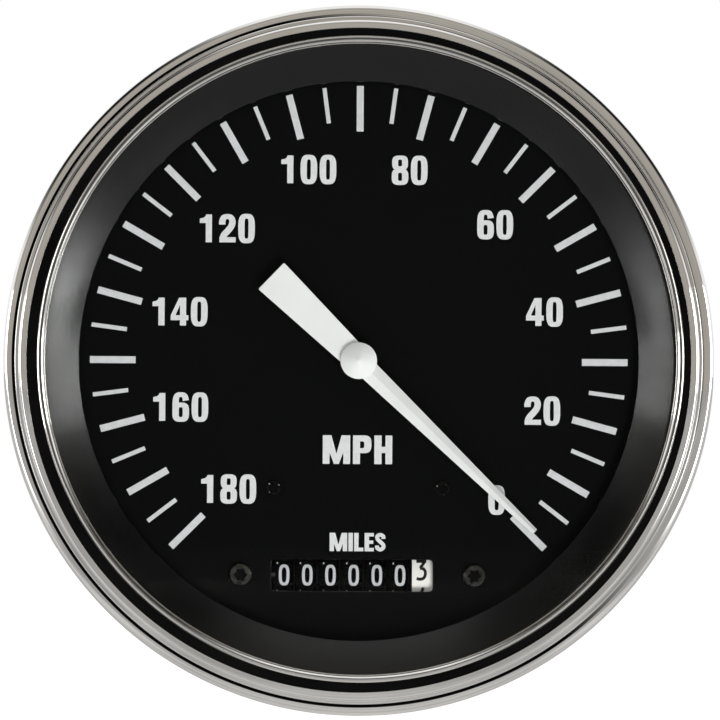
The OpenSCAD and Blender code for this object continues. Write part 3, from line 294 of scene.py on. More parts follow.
finishes = {
    "chrome": finish("polishedChrome", (0.86, 0.85, 0.83), (0.80, 0.79, 0.77), (0.03, 0.07),
                     metal=1.0, broad=90.0, fine=9000.0, grain=0.006, rings=True),
    "black_band": finish("bandPaint", (0.003, 0.003, 0.003), (0.0015, 0.0015, 0.0015), (0.2, 0.3),
                         grain=0.05, shine=0.08),
    "lens_glass": clearFinish("lensGlass", (0.985, 0.99, 0.985), 0.002, 0.6, (0.0, 0.04)),
    "gasket_rubber": finish("gasketRubber", (0.03, 0.03, 0.03), (0.018, 0.018, 0.018), (0.6, 0.8),
                            grain=0.3),
    "black_ring": finish("ringEnamel", (0.004, 0.004, 0.0045), (0.0025, 0.0025, 0.0025), (0.14, 0.23),
                         fine=6000.0, grain=0.012),
    "case_enamel": finish("caseEnamel", (0.022, 0.023, 0.025), (0.014, 0.015, 0.016), (0.3, 0.45),
                          fine=1600.0, grain=0.12),
    "zinc_steel": finish("zincPlate", (0.60, 0.60, 0.57), (0.46, 0.47, 0.47), (0.25, 0.42),
                         metal=1.0, broad=260.0, fine=5000.0, grain=0.12),
    "brass": finish("brass", (0.74, 0.55, 0.25), (0.60, 0.42, 0.17), (0.2, 0.36),
                    metal=1.0, broad=240.0, fine=5000.0, grain=0.08),
    "lamp_plastic": finish("lampPlastic", (0.72, 0.68, 0.57), (0.63, 0.59, 0.48), (0.4, 0.55),
                           grain=0.1),
    "bulb_glass": clearFinish("bulbGlass", (0.97, 0.95, 0.9), 0.04, 0.8, (0.0, 0.03)),
    "dial_black": finish("dialPaint", (0.0036, 0.0038, 0.0038), (0.0020, 0.0021, 0.0021), (0.5, 0.62),
                         broad=5200.0, fine=7000.0, grain=0.5, shine=0.05),
    "dial_white": finish("scalePaint", (0.69, 0.69, 0.71), (0.61, 0.61, 0.63), (0.45, 0.6),
                         broad=900.0, fine=5000.0, grain=0.15),
    "frame_alloy": finish("frameAlloy", (0.66, 0.67, 0.68), (0.54, 0.55, 0.56), (0.32, 0.48),
                          metal=1.0, broad=200.0, fine=4000.0, grain=0.12),
    "magnet_steel": finish("magnetSteel", (0.33, 0.33, 0.34), (0.25, 0.25, 0.26), (0.35, 0.5),
                           metal=1.0, broad=300.0, fine=4000.0, grain=0.1),
    "drum_black": finish("drumPlastic", (0.0025, 0.0025, 0.0025), (0.001, 0.001, 0.001), (0.42, 0.55),
                         fine=5000.0, grain=0.15, shine=0.04),
    "drum_white": finish("drumWhite", (0.93, 0.91, 0.87), (0.87, 0.85, 0.81), (0.4, 0.5),
                         broad=300.0, grain=0.08),
}
numeralPaint = finish("numeralPaint", (0.76, 0.76, 0.77), (0.69, 0.69, 0.71), (0.42, 0.55),
                      broad=1500.0, fine=5000.0, grain=0.12)
drumInk = finish("drumInk", (0.58, 0.58, 0.61), (0.52, 0.52, 0.55), (0.45, 0.55),
                 broad=1200.0, grain=0.1)
blackInk = finish("blackInk", (0.008, 0.008, 0.009), (0.005, 0.005, 0.006), (0.4, 0.5),
                  broad=1200.0, grain=0.1)
needlePaint = finish("needlePaint", (0.88, 0.88, 0.88), (0.82, 0.82, 0.825), (0.34, 0.46),
                     broad=160.0, fine=3000.0, grain=0.05)
darkScrew = finish("darkScrew", (0.13, 0.128, 0.124), (0.03, 0.03, 0.031), (0.24, 0.36),
                   metal=1.0, broad=1100.0, fine=3500.0, grain=0.2)
blackScrew = finish("blackScrew", (0.0045, 0.0045, 0.0045), (0.002, 0.002, 0.002), (0.2, 0.3),
                    broad=900.0, grain=0.12, shine=0.12)
cutEdge = finish("cutEdge", (0.14, 0.135, 0.13), (0.02, 0.02, 0.02), (0.3, 0.45),
                 metal=1.0, broad=1400.0, fine=5000.0, grain=0.1)

slotOf = {part["node"]: part["material_slot"] for part in frame["record"]["subparts"]}
for nodeName, slotName in slotOf.items():
    solid = frame["nodes"][nodeName]
    solid.data.materials.clear()
    solid.data.materials.append(finishes[slotName])
print("finishes laid on", len(slotOf), "solids")


# Bezel, band, lens, gasket, trim ring

bezel = {"lip": 58.8, "lipBack": 0.3, "lipFront": 1.1, "rollCentre": (61.0, 1.9), "roll": (2.5, 1.6),
         "rollPower": 2.4, "wall": 61.3, "skin": 60.8, "shoulderCentre": (59.7, 5.95), "shoulder": 0.9,
         "faceSlope": 9.0, "ledgeEdge": (61.0, 5.5), "ledgeRound": 0.3, "ledgeSlope": 12.0,
         "foot": (0.08, 0.02), "groove": 59.12, "grooveFloor": 5.9, "bead": 57.04,
         "beadTop": (0.24, 6.9), "beadFoot": (0.57, 6.585), "beadSoften": 0.05,
         "lensLip": (0.15, 0.3), "lensLipAt": (56.33, 5.35), "lensLipPower": 2.2, "lensSeat": 5.3,
         "edge": 0.05, "drift": (0.34, 0.18), "steps": 720,
         "points": {"roll": 44, "ledge": 12, "shoulder": 20, "edge": 4, "corner": 5, "lensLip": 14}}


# The bezel's section runs round its outside: lip, rolled rim (a superellipse), side wall, ledge,
# shoulder, groove, a sloped bead, a thin lip that is half a superellipse, then back along the inside
# of the sheet. The second list marks the points of the bead and lip, which lie a little off centre.
def bezelSection(rim):
    points = rim["points"]
    outward = rim["wall"] - rim["rollCentre"][0]
    wallCosine = np.sign(outward) * (abs(outward) / rim["roll"][0]) ** (rim["rollPower"] / 2)
    outer, edge = rim["groove"], rim["edge"]
    shoulder = arc(rim["shoulderCentre"], rim["shoulder"], 0, 90 - rim["faceSlope"], points["shoulder"])
    rise = np.tan(np.radians(rim["faceSlope"]))
    front = shoulder[-1, 1] + rise * (shoulder[-1, 0] - outer - edge)
    outside = np.vstack([
        [(rim["lip"], rim["lipBack"])],
        oval(rim["rollCentre"], rim["roll"], rim["rollPower"], -90, np.degrees(np.arccos(wallCosine)),
             points["roll"]),
        arc(rim["ledgeEdge"], rim["ledgeRound"], 0, 90 - rim["ledgeSlope"], points["ledge"]),
        [(rim["shoulderCentre"][0] + rim["shoulder"] + rim["foot"][0],
          rim["shoulderCentre"][1] - rim["foot"][1])],
        shoulder,
        [(outer + 2 * edge, front - rise * edge)],
        arc((outer + edge, front - edge), edge, 90, 180, points["edge"]),
        [(outer, rim["grooveFloor"])]])
    (top, topFront), (foot, footFront) = rim["beadTop"], rim["beadFoot"]
    ridge = softened([(foot, rim["grooveFloor"]), (foot, footFront), (top, topFront), (-top, topFront),
                      (-foot, footFront), (-foot, rim["lensLipAt"][1])],
                     rim["beadSoften"], points["corner"])
    ridge = ridge[points["corner"]:-points["corner"]] + np.array([rim["bead"], 0.0])  # less its two feet
    raised = np.vstack([
        [(rim["bead"] + foot, rim["grooveFloor"])],
        ridge,
        oval(rim["lensLipAt"], rim["lensLip"], rim["lensLipPower"], 0, 180, points["lensLip"]),
        [(rim["lensLipAt"][0] - rim["lensLip"][0], rim["lensSeat"])]])
    inside = np.array([(rim["skin"], rim["lensSeat"]), (rim["skin"], rim["lipFront"]),
                       (rim["lip"], rim["lipFront"])])
    marks = np.concatenate([np.zeros(len(outside)), np.ones(len(raised)), np.zeros(len(inside))])
    return np.vstack([outside, raised, inside]), marks


# Painted shade in the chrome's creases, as rings in radius (metres) that reach so far round from their
# middles (degrees).
creaseShade = (0.004, 0.004, 0.004, 1.0)
paintedCreaseShades = {"rolledRim": {"inside": (0.06126, 0.06134), "outside": (0.06202, 0.06188),
                         "reach": (-0.58, -0.2), "middles": [205.0]},
           "ledgeFoot": {"inside": (0.06048, 0.06055), "outside": (0.06073, 0.06066),
                         "reach": (0.75, 0.95), "middles": [48.0, 135.0]}}


# Painted shade in a crease: colour = chrome * (1 - ring * side) + shade * ring * side, where ring steps up
# inside and down outside and side steps up with the cosine of the angle from the middle.
def creaseGrime(material, crease, middle):
    tree = material.node_tree
    offset, radius = fromAxis(tree, addNode(tree, "TexCoord").outputs["Object"])
    bearing = addNode(tree, "VectorMath", {0: offset}, operation="NORMALIZE").outputs["Vector"]
    heart = (np.cos(np.radians(middle)), 0.0, np.sin(np.radians(middle)))
    cosine = addNode(tree, "VectorMath", {0: bearing, 1: heart}, operation="DOT_PRODUCT").outputs["Value"]
    share = product(tree, stepped(tree, radius, crease["inside"]), stepped(tree, radius, crease["outside"]),
                    stepped(tree, cosine, crease["reach"]))
    colour = tree.nodes["Principled BSDF"].inputs["Base Color"]
    tree.links.new(mixed(tree, share, colour.links[0].from_socket, creaseShade), colour)


# Each crease darkens the chrome with painted shade, strongest round its middles.
for crease in paintedCreaseShades.values():
    for middle in crease["middles"]:
        creaseGrime(finishes["chrome"], crease, middle)
rimSection, rimMarks = bezelSection(bezel)
rimPoints, rimFaces = turned(rimSection, bezel["steps"])
rimDrift = toFrame(bezel["drift"][0] * rimMarks, bezel["drift"][1] * rimMarks, 0 * rimMarks)
rimPoints = rimPoints + np.tile(rimDrift, (bezel["steps"], 1))
addPiece("bezelRim", (rimPoints, rimFaces), "chrome", ["bezel"])

band = {"radius": (57.2, 59.12), "depth": (5.9, 6.4), "soften": 0.12, "steps": 360}
bandOutline = softened(boxCorners(band["radius"], band["depth"]), band["soften"])
addPiece("bezelBand", turned(bandOutline, band["steps"]), "black_band", ["bezel_inlay"])

lens = {"radius": 60.5, "depth": (3.5, 5.3), "soften": 0.15, "steps": 256}
lensOutline = chamferedRim(lens["radius"], *lens["depth"], lens["soften"])
lensOutline = [(0.0, lens["depth"][1]), *lensOutline, (0.0, lens["depth"][0])]
addPiece("lensGlass", turned(lensOutline, lens["steps"], closed=False), "lens_glass", ["lens"])

gasket = {"radius": (57.3, 60.5), "depth": (2.8, 3.5), "soften": 0.2, "steps": 200}
gasketOutline = softened(boxCorners(gasket["radius"], gasket["depth"]), gasket["soften"])
addPiece("lensGasket", turned(gasketOutline, gasket["steps"]), "gasket_rubber", ["lens_gasket"])
print("bezel, band, lens and gasket turned")

# The trim ring keeps its solid's corner points; only the folds are softened.
ring = {"flange": 60.5, "top": 2.8, "back": 2.1, "mouth": 56.3, "mouthBack": 56.5, "foot": 50.1,
        "footFront": -2.0, "sheet": 0.7, "soften": 0.18, "steps": 360}
ringOutline = [(ring["flange"], ring["back"]), (ring["flange"], ring["top"]),
               (ring["mouth"], ring["top"]), (ring["foot"], ring["footFront"]),
               (ring["foot"], ring["footFront"] - ring["sheet"]), (ring["mouthBack"], ring["back"])]
addPiece("trimCone", turned(softened(ringOutline, ring["soften"]), ring["steps"]), "black_ring",
         ["trim_ring"])
print("trim ring turned")


# Dial printing

# A stroke's two edges: one superellipse inside another about the same centre.
def loop(centre, half, hole, power=3.1, holePower=4.6, start=0.0, stop=360.0):
    return oval(centre, half, power, start, stop), oval(centre, hole, holePower, start, stop)


# A straight stroke: the left and right edges of a box.
def bar(left, foot, right, top):
    return np.array([[left, foot], [left, top]]), np.array([[right, foot], [right, top]])


# Any stroke given edge by edge.
def edges(first, second):
    return np.asarray(first, float), np.asarray(second, float)


# A Catmull-Rom curve through the points, its edges at path + and - normal * half width.
def swept(points, half, count=10):
    path = np.column_stack([np.asarray(points, float), np.broadcast_to(half, len(points))])
    path = np.vstack([2 * path[0] - path[1], path, 2 * path[-1] - path[-2]])
    t = np.linspace(0, 1, count, endpoint=False)[None, :, None]
    a, b, c, d = path[:-3, None], path[1:-2, None], path[2:-1, None], path[3:, None]
    curve = 0.5 * (2 * b + (c - a) * t + (2 * a - 5 * b + 4 * c - d) * t ** 2
                   + (3 * b - a - 3 * c + d) * t ** 3)
    curve = np.vstack([curve.reshape(-1, 3), path[-2]])
    slope = np.gradient(curve[:, :2], axis=0)
    normal = np.stack([-slope[:, 1], slope[:, 0]], axis=-1) / np.linalg.norm(slope, axis=1)[:, None]
    return curve[:, :2] + normal * curve[:, 2:], curve[:, :2] - normal * curve[:, 2:]


# A stroke gets thickness as a four-cornered section carried along its edges; a ring joins its ends.
def strokeGrid(stroke, put, foot, top):
    first, second = stroke
    ringed = np.allclose(first[0], first[-1])
    if ringed:
        first, second = first[:-1], second[:-1]
    sheet = np.stack([first, second, second, first], axis=1)
    points = put(sheet[..., 0], sheet[..., 1], np.array([top, top, foot, foot])[None, :])
    quads = gridFaces(len(first), 4, ringed, True)
    if not ringed:
        last = 4 * (len(first) - 1)
        quads = np.vstack([quads, [[0, 1, 2, 3]], [[last + 3, last + 2, last + 1, last]]])
    return points.reshape(-1, 3), quads


# Strokes of the heavy dial figures on a cap height of 1, with each figure's width.
heavy = {
    "0": (0.60, [loop((0.30, 0.5), (0.30, 0.53), (0.07, 0.36))]),
    "1": (0.60, [bar(0.215, 0.0, 0.435, 1.0),
                 edges([(0, 0.85), (0.12, 0.875), (0.2, 0.93), (0.23, 1.0)],
                       [(0, 0.69), (0.1, 0.69), (0.2, 0.69), (0.23, 0.69)])]),
    "2": (0.60, [swept([(0.118, 0.64), (0.118, 0.75), (0.17, 0.885), (0.3, 0.93), (0.43, 0.885),
                        (0.482, 0.74), (0.44, 0.58), (0.32, 0.42), (0.2, 0.29), (0.135, 0.15)],
                       [0.115, 0.115, 0.105, 0.09, 0.105, 0.115, 0.115, 0.115, 0.115, 0.12]),
                 bar(0.015, 0.0, 0.60, 0.185)]),
    "4": (0.60, [bar(0.30, 0.0, 0.52, 1.0), bar(-0.035, 0.19, 0.605, 0.37),
                 edges([(-0.035, 0.36), (0.265, 1.0), (0.325, 1.0)],
                       [(0.135, 0.36), (0.31, 0.77), (0.325, 0.77)])]),
    "6": (0.60, [loop((0.30, 0.315), (0.30, 0.345), (0.07, 0.175)),
                 loop((0.30, 0.5), (0.30, 0.53), (0.07, 0.36), start=18, stop=205)]),
    "8": (0.60, [loop((0.30, 0.765), (0.285, 0.265), (0.07, 0.12)),
                 loop((0.30, 0.265), (0.30, 0.295), (0.07, 0.145))]),
    "M": (0.955, [bar(0, 0, 0.238, 1), bar(0.717, 0, 0.955, 1),
                  edges([(0, 1), (0.395, 0)], [(0.30, 1), (0.575, 0)]),
                  edges([(0.655, 1), (0.38, 0)], [(0.955, 1), (0.56, 0)])]),
    "P": (0.643, [bar(0, 0, 0.245, 1),
                  edges(np.vstack([[(0.2, 1.0)], oval((0.36, 0.69), (0.283, 0.31), 3.0, 90, -90),
                                   [(0.2, 0.38)]]),
                        np.vstack([[(0.2, 0.79)], oval((0.32, 0.672), (0.075, 0.118), 3.0, 90, -90),
                                   [(0.2, 0.554)]]))]),
    "H": (0.626, [bar(0, 0, 0.255, 1), bar(0.388, 0, 0.626, 1), bar(0.2, 0.388, 0.42, 0.608)]),
    "I": (0.24, [bar(0, 0, 0.24, 1)]),
    "L": (0.50, [bar(0, 0, 0.24, 1), bar(0.2, 0, 0.5, 0.2)]),
    "E": (0.50, [bar(0, 0, 0.24, 1), bar(0.2, 0, 0.5, 0.19), bar(0.2, 0.41, 0.47, 0.59),
                 bar(0.2, 0.81, 0.5, 1)]),
    "S": (0.56, [swept([(0.45, 0.68), (0.44, 0.82), (0.28, 0.9), (0.12, 0.82), (0.13, 0.67),
                        (0.28, 0.52), (0.44, 0.36), (0.44, 0.2), (0.28, 0.1), (0.11, 0.19),
                        (0.11, 0.32)], 0.105)]),
}


# Strokes that cross lie a few microns over each other, so that no two faces share a plane.
def printGrids(strokes, put, foot, top, lift=0.004):
    return [strokeGrid(stroke, put, foot - lift * count, top + lift * count)
            for count, stroke in enumerate(strokes)]


# A word's strokes laid out left to right about its middle and scaled to its height.
def wordStrokes(word, letters, height, gap):
    widths = np.array([letters[letter][0] for letter in word])
    starts = np.concatenate([[0], np.cumsum(widths + gap)[:-1]])
    starts = starts - (widths.sum() + gap * (len(word) - 1)) / 2
    return [[(edge + np.array([start, -0.5])) * height for edge in stroke]
            for letter, start in zip(word, starts) for stroke in letters[letter][1]]


# Flat print: (u, v) about a middle point on the dial's face, raised by h.
def onDial(middle, face):
    return lambda u, v, h: toFrame(middle[0] + u, middle[1] + v, face + h)


dialFace = -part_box("dial")[0].y / mm  # the dial's lowest corner lies in its front
dialPrint = {"height": 5.0, "gap": 0.09, "ink": 0.05, "sink": -0.05}
numerals = {"0": (24.92, -24.83), "20": (33.02, -8.77), "40": (33.42, 9.02), "60": (24.38, 24.66),
            "80": (8.95, 34.36), "100": (-9.18, 34.41), "120": (-23.76, 23.71), "140": (-32.17, 8.71),
            "160": (-31.93, -8.44), "180": (-23.23, -23.12)}
unitWords = {"MPH": ((-0.13, -15.92), 5.15, 0.1), "MILES": ((-0.03, -32.51), 3.3, 0.07)}


# A word's strokes, laid on the dial about its middle.
def dialWord(word, middle, height, gap):
    strokes = wordStrokes(word, heavy, height, gap)
    return printGrids(strokes, onDial(middle, dialFace), dialPrint["sink"], dialPrint["ink"])


numeralGrids = [dialWord(word, middle, dialPrint["height"], dialPrint["gap"])
                for word, middle in numerals.items()]
addPiece("dialNumerals", joined(sum(numeralGrids, [])), "dial_white", paint=numeralPaint)
unitGrids = [dialWord(word, *place) for word, place in unitWords.items()]
addPiece("dialUnitWords", joined(sum(unitGrids, [])), "dial_white", paint=numeralPaint)
print("dial figures and unit words drawn")


# Odometer

# The slim drum figures' strokes on a cap height of 1, all with one width and one line.
slimWidth = 0.53
slimHalf = 0.07  # half the line's width
zeroRound, slimRound = (2.8, 2.8), (2.6, 2.4)  # the powers of a loop's outer and inner edge
slimStrokes = {
    "0": [loop((0.265, 0.5), (0.252, 0.5), (0.115, 0.359), *zeroRound)],
    "1": [bar(0.24, 0.0, 0.39, 1.0), swept([(0.09, 0.72), (0.2, 0.83), (0.31, 0.96)], slimHalf)],
    "2": [swept([(0.08, 0.7), (0.11, 0.84), (0.265, 0.926), (0.42, 0.84), (0.44, 0.68),
                 (0.32, 0.45), (0.16, 0.24), (0.09, 0.1)], slimHalf), bar(0.02, 0.0, 0.52, 0.15)],
    "3": [bar(0.03, 0.85, 0.5, 1.0), swept([(0.43, 0.92), (0.32, 0.75), (0.21, 0.6)], slimHalf),
          swept([(0.2, 0.58), (0.34, 0.57), (0.44, 0.46), (0.455, 0.3), (0.4, 0.15), (0.27, 0.075),
                 (0.14, 0.075), (0.05, 0.12)], slimHalf)],
    "4": [bar(0.3, 0.0, 0.45, 1.0), bar(0.0, 0.2, 0.53, 0.35),
          swept([(0.36, 0.96), (0.21, 0.62), (0.07, 0.29)], slimHalf)],
    "5": [bar(0.06, 0.85, 0.5, 1.0), bar(0.06, 0.48, 0.2, 1.0),
          swept([(0.1, 0.54), (0.26, 0.6), (0.41, 0.52), (0.455, 0.34), (0.4, 0.15), (0.25, 0.075),
                 (0.1, 0.13), (0.05, 0.25)], slimHalf)],
    "6": [loop((0.265, 0.3), (0.265, 0.3), (0.117, 0.155), *slimRound),
          swept([(0.075, 0.32), (0.085, 0.6), (0.16, 0.84), (0.3, 0.92), (0.45, 0.84)], slimHalf)],
    "7": [bar(0.02, 0.85, 0.52, 1.0), swept([(0.44, 0.92), (0.33, 0.55), (0.2, 0.0)], slimHalf)],
    "8": [loop((0.265, 0.755), (0.235, 0.245), (0.095, 0.1), *slimRound),
          loop((0.265, 0.28), (0.265, 0.28), (0.117, 0.135), *slimRound)],
    "9": [loop((0.265, 0.7), (0.265, 0.3), (0.117, 0.155), *slimRound),
          swept([(0.455, 0.68), (0.445, 0.4), (0.37, 0.16), (0.23, 0.08), (0.08, 0.16)], slimHalf)],
}
slim = {figure: (slimWidth, strokes) for figure, strokes in slimStrokes.items()}

# The painted glint by each figure on the black drums is a small light bar: its place and size in mm from the
# figure's middle.
drums = {"axleUp": -38.5, "axleFront": -13.8, "radius": 8.0, "height": 3.8, "ink": 0.04, "sink": -0.12,
         "tenthsAcross": 11.47, "unitsAcross": 7.65, "pitch": 4.168, "step": 36.0, "tenthsReading": 3.2,
         "paintedGlint": ((-1.35, 2.0), (0.22, 0.32)),
         "order": ["tenths", "units", "tens", "hundreds", "thousands", "ten_thousands",
                   "hundred_thousands"]}


# Print wrapped on a drum: v becomes the angle v / radius, added to the figure's own place.
def onDrum(across, lift):
    def put(u, v, h):
        turn = lift + v / drums["radius"]
        reach = drums["radius"] + h
        return toFrame(across + u, drums["axleUp"] + reach * np.sin(turn),
                       drums["axleFront"] + reach * np.cos(turn))
    return put


# One drum carries its ten figures, each 36 degrees round from the one before; on the black drums each
# figure also gets a painted glint, a small light bar at its upper left.
def drumPrint(across, reading, glinted):
    grids = []
    for figure in range(10):
        put = onDrum(across, np.radians(drums["step"] * (reading - figure)))
        strokes = wordStrokes(str(figure), slim, drums["height"], 0)
        if glinted:
            # A painted glint: a small light bar at the figure's upper left.
            (left, low), (wide, tall) = drums["paintedGlint"]
            strokes.append(bar(left, low, left + wide, low + tall))
        grids += printGrids(strokes, put, drums["sink"], drums["ink"])
    return joined(grids)


# The tenths drum is black under a white sleeve: a box in (across, radius) turned about the axle.
sleeve = {"across": (9.8, 13.6), "radius": (7.9, 8.012), "steps": 160}
sleeveBox = np.array(boxCorners(sleeve["across"], sleeve["radius"]))
sleeveTurn = fullTurn(sleeve["steps"])
sleevePoints = toFrame(sleeveBox[:, 0][None, :],
                       drums["axleUp"] + np.outer(np.sin(sleeveTurn), sleeveBox[:, 1]),
                       drums["axleFront"] + np.outer(np.cos(sleeveTurn), sleeveBox[:, 1]))
addPiece("tenthsSleeve", (sleevePoints.reshape(-1, 3), gridFaces(sleeve["steps"], 4, True, True)),
         "drum_white", body="tenths")
frame["nodes"]["tenths_drum"].data.materials[0] = finishes["drum_black"]

for count, body in enumerate(drums["order"]):
    if body == "tenths":
        figures = drumPrint(drums["tenthsAcross"], drums["tenthsReading"], False)
        ink, slotName = blackInk, "drum_black"
    else:
        across = drums["unitsAcross"] - drums["pitch"] * (count - 1)
        figures = drumPrint(across, 0.0, True)
        ink, slotName = drumInk, "dial_white"
    addPiece(body + "Figures", figures, slotName, paint=ink, body=body)
print("drum figures wrapped")

# The cut edge of the window: a bare bevel carried round a rounded box.
window = {"middle": (-1.0, -38.5), "half": (14.6, 2.95), "corner": 0.8, "cornerPoints": 9, "bevel": 0.1,
          "proud": 0.03, "sheet": 0.8}
halfWide, halfTall = window["half"]
windowPath = softened(boxCorners((halfWide, -halfWide), (halfTall, -halfTall)), window["corner"],
                      window["cornerPoints"])
windowInward = windowPath * (1 - window["bevel"] / np.array(window["half"]))
windowRows = np.stack([windowPath, windowInward, windowInward, windowPath], axis=1)
windowRows = windowRows + np.array(window["middle"])
windowDepth = dialFace + np.array([window["proud"], -window["bevel"], -window["sheet"], -window["sheet"]])
windowPoints = toFrame(windowRows[..., 0], windowRows[..., 1], windowDepth[None, :]).reshape(-1, 3)
addPiece("windowEdge", (windowPoints, gridFaces(len(windowPath), 4, True, True)), "dial_black",
         paint=cutEdge)


# Screws on the dial

odometerScrews = {"across": 21.0, "up": -38.5, "radius": 2.12, "height": 1.5, "rise": 0.45,
                  "recess": 1.03, "depth": 1.1, "plug": 0.55}
dialScrews = {"across": 15.15, "up": -22.85, "radius": 1.35, "height": 0.5, "rise": 0.1,
              "recess": 0.85, "depth": 0.4, "plug": 0.25}


# A recess whose rim is recess * (1 + swell cos 6a).
def lobes(recess, turn, swell=0.15):
    return recess * (1 + swell * np.cos(6 * turn))


# A head as a polar height field: a flat dome with a round edge, less the recess, and a skirt down to
# the dial: front = base + (height - rise) sqrt(1 - p^roundness) + rise (1 - p^2) - depth * recess, where
# p is the share of the radius and the recess is a smooth step across its rim.
def lobeHead(middle, screws, base, slope=0.06, roundness=26, rows=64, steps=144):
    part = np.linspace(0, 1, rows)
    radius, rise = screws["radius"], screws["rise"]
    inside = lobes(screws["recess"], fullTurn(steps))[:, None] - radius * part[None, :]
    drop = np.clip(inside / (slope * radius) + 0.5, 0, 1)
    drop = drop * drop * (3 - 2 * drop)
    roundOff = np.sqrt(np.clip(1 - part ** roundness, 0, 1))
    top = base + (screws["height"] - rise) * roundOff + rise * (1 - part ** 2)
    heightField = top[None, :] - screws["depth"] * drop
    reach = np.broadcast_to(radius * part, heightField.shape)
    reach = np.hstack([reach, reach[:, -1:]])
    return polarGrid(reach, np.hstack([heightField, np.full((steps, 1), base)]), middle)


# Painted shade in a recess: a thin black plug with the recess's outline.
def lobePlug(middle, recess, front, sheet=0.1, steps=96):
    reach = np.outer(lobes(recess, fullTurn(steps)), [0.0, 1.0, 1.0, 0.0])
    return polarGrid(reach, front + np.array([0.0, 0.0, -sheet, -sheet])[None, :], middle)


# The screws stand in pairs, as far to the left of the middle as to the right.
def screwPlaces(screws):
    return [(side * screws["across"], screws["up"]) for side in (-1, 1)]


addPiece("odometerScrewHeads",
         joined([lobeHead(middle, odometerScrews, dialFace) for middle in screwPlaces(odometerScrews)]),
         "zinc_steel", ["odometer_screws"], darkScrew)
addPiece("dialScrewHeads",
         joined([lobeHead(middle, dialScrews, dialFace) for middle in screwPlaces(dialScrews)]),
         "dial_black", ["dial_screws"], blackScrew)
# Black plugs part way down the screws' recesses paint the shade of the deep sockets.
socketShadeGrids = [lobePlug(middle, screws["recess"], dialFace + screws["height"] - screws["plug"])
             for screws in (odometerScrews, dialScrews) for middle in screwPlaces(screws)]
addPiece("paintedSocketShade", joined(socketShadeGrids), "dial_black", paint=finishes["black_band"])

# Bare spots worn on the dial screws' sockets: low domes, each an angle, a distance from the screw's
# middle and a size.
wornSpots = {"rise": 0.16, "sink": 0.1, "points": 8, "steps": 24,
             "left": [(138.0, 1.05, 0.17), (31.0, 1.02, 0.15), (227.0, 1.1, 0.15)],
             "right": [(153.0, 1.05, 0.17), (48.0, 0.95, 0.08), (287.0, 1.12, 0.09)]}
spotFoot = dialFace + dialScrews["height"] - wornSpots["sink"]
spotGrids = []
for (across, up), spots in zip(screwPlaces(dialScrews), (wornSpots["left"], wornSpots["right"])):
    for angle, reach, size in spots:
        turn = np.radians(angle)
        dome = oval((0.0, spotFoot), (size, wornSpots["rise"]), 2.0, 90, 0, wornSpots["points"])
        spotGrids.append(turned(np.vstack([dome, [(0.0, spotFoot)]]), wornSpots["steps"],
                                (across + reach * np.cos(turn), up + reach * np.sin(turn)), False))
addPiece("screwSpots", joined(spotGrids), "zinc_steel")
print("window edge and dial screws set")


# Needle and hub

needle = {"angle": -43.8, "base": -2.4, "reach": (2.0, 44.0), "half": (1.82, 0.56), "side": 0.25,
          "ridge": (1.2, 0.75), "ridgeHalf": 0.04, "tail": (-21.9, 0.0), "tailHalf": (3.32, 2.3),
          "tailCorner": 0.3, "plate": 0.5, "soften": 0.08, "rows": 24}


# The pointer is lofted along its length: a six-cornered section that narrows from hub to tip.
def pointerGrid(blade):
    rows = blade["rows"]
    along = np.linspace(*blade["reach"], rows)
    half, ridge = np.linspace(*blade["half"], rows), np.linspace(*blade["ridge"], rows)
    level, side, middle = np.zeros(rows), np.full(rows, blade["side"]), np.full(rows, blade["ridgeHalf"])
    across = np.stack([-half, -half, -middle, middle, half, half], axis=1)
    front = blade["base"] + np.stack([level, side, ridge, ridge, side, level], axis=1)
    caps = np.array([[0, 1, 2, 3], [0, 3, 4, 5]])
    quads = np.vstack([gridFaces(rows, 6, False, True), caps, caps[:, ::-1] + 6 * (rows - 1)])
    return along[:, None] + 0 * across, across, front, quads


# The tail is a flat plate whose softened outline is carried up its thickness.
def tailGrid(blade):
    (end, root), (endHalf, rootHalf) = blade["tail"], blade["tailHalf"]
    outline = softened([(end, -endHalf), (root, -rootHalf), (root, rootHalf), (end, endHalf)],
                       blade["tailCorner"])
    middle = outline.mean(axis=0) + 0 * outline
    inset = middle + (outline - middle) * (1 - blade["soften"] / np.abs(outline - middle).max())
    rings = np.stack([middle, outline, outline, inset, middle], axis=1)
    plate = blade["plate"]
    front = blade["base"] + np.array([0, 0, plate - blade["soften"], plate, plate])
    return rings[..., 0], rings[..., 1], front[None, :] + 0 * rings[..., 0], gridFaces(len(outline), 5, True)


# Length and width along the pointer are turned by its angle a about the dial's axis:
# across = l cos a - w sin a, up = l sin a + w cos a.
def turnedBy(angle, along, wide, front, quads):
    cosine, sine = np.cos(np.radians(angle)), np.sin(np.radians(angle))
    points = toFrame(along * cosine - wide * sine, along * sine + wide * cosine, front)
    return points.reshape(-1, 3), quads


addPiece("needleBlade", joined([turnedBy(needle["angle"], *pointerGrid(needle)),
                                turnedBy(needle["angle"], *tailGrid(needle))]),
         "dial_white", ["needle"], needlePaint, "pointer", crisp=20.0)

hub = {"radius": 3.27, "base": -1.7, "rim": -1.0, "peak": 0.3, "tip": (0.12, 0.27), "soften": 0.1,
       "steps": 128}
hubOutline = [(0.0, hub["peak"]), hub["tip"],
              *chamferedRim(hub["radius"], hub["base"], hub["rim"], hub["soften"]), (0.0, hub["base"])]
addPiece("needleCap", turned(hubOutline, hub["steps"], closed=False), "dial_white", ["needle_hub"],
         needlePaint, "pointer")
print("needle and cap made")


# Case and its fittings

case = {"barrel": 58.4, "inside": 57.5, "neck": 57.9, "flange": 60.5, "flangeBack": 1.1,
        "flangeFront": 2.1, "back": -54.0, "floor": -52.8, "corner": 5.0, "steps": 256,
        "points": {"inside": 16, "outside": 24}}


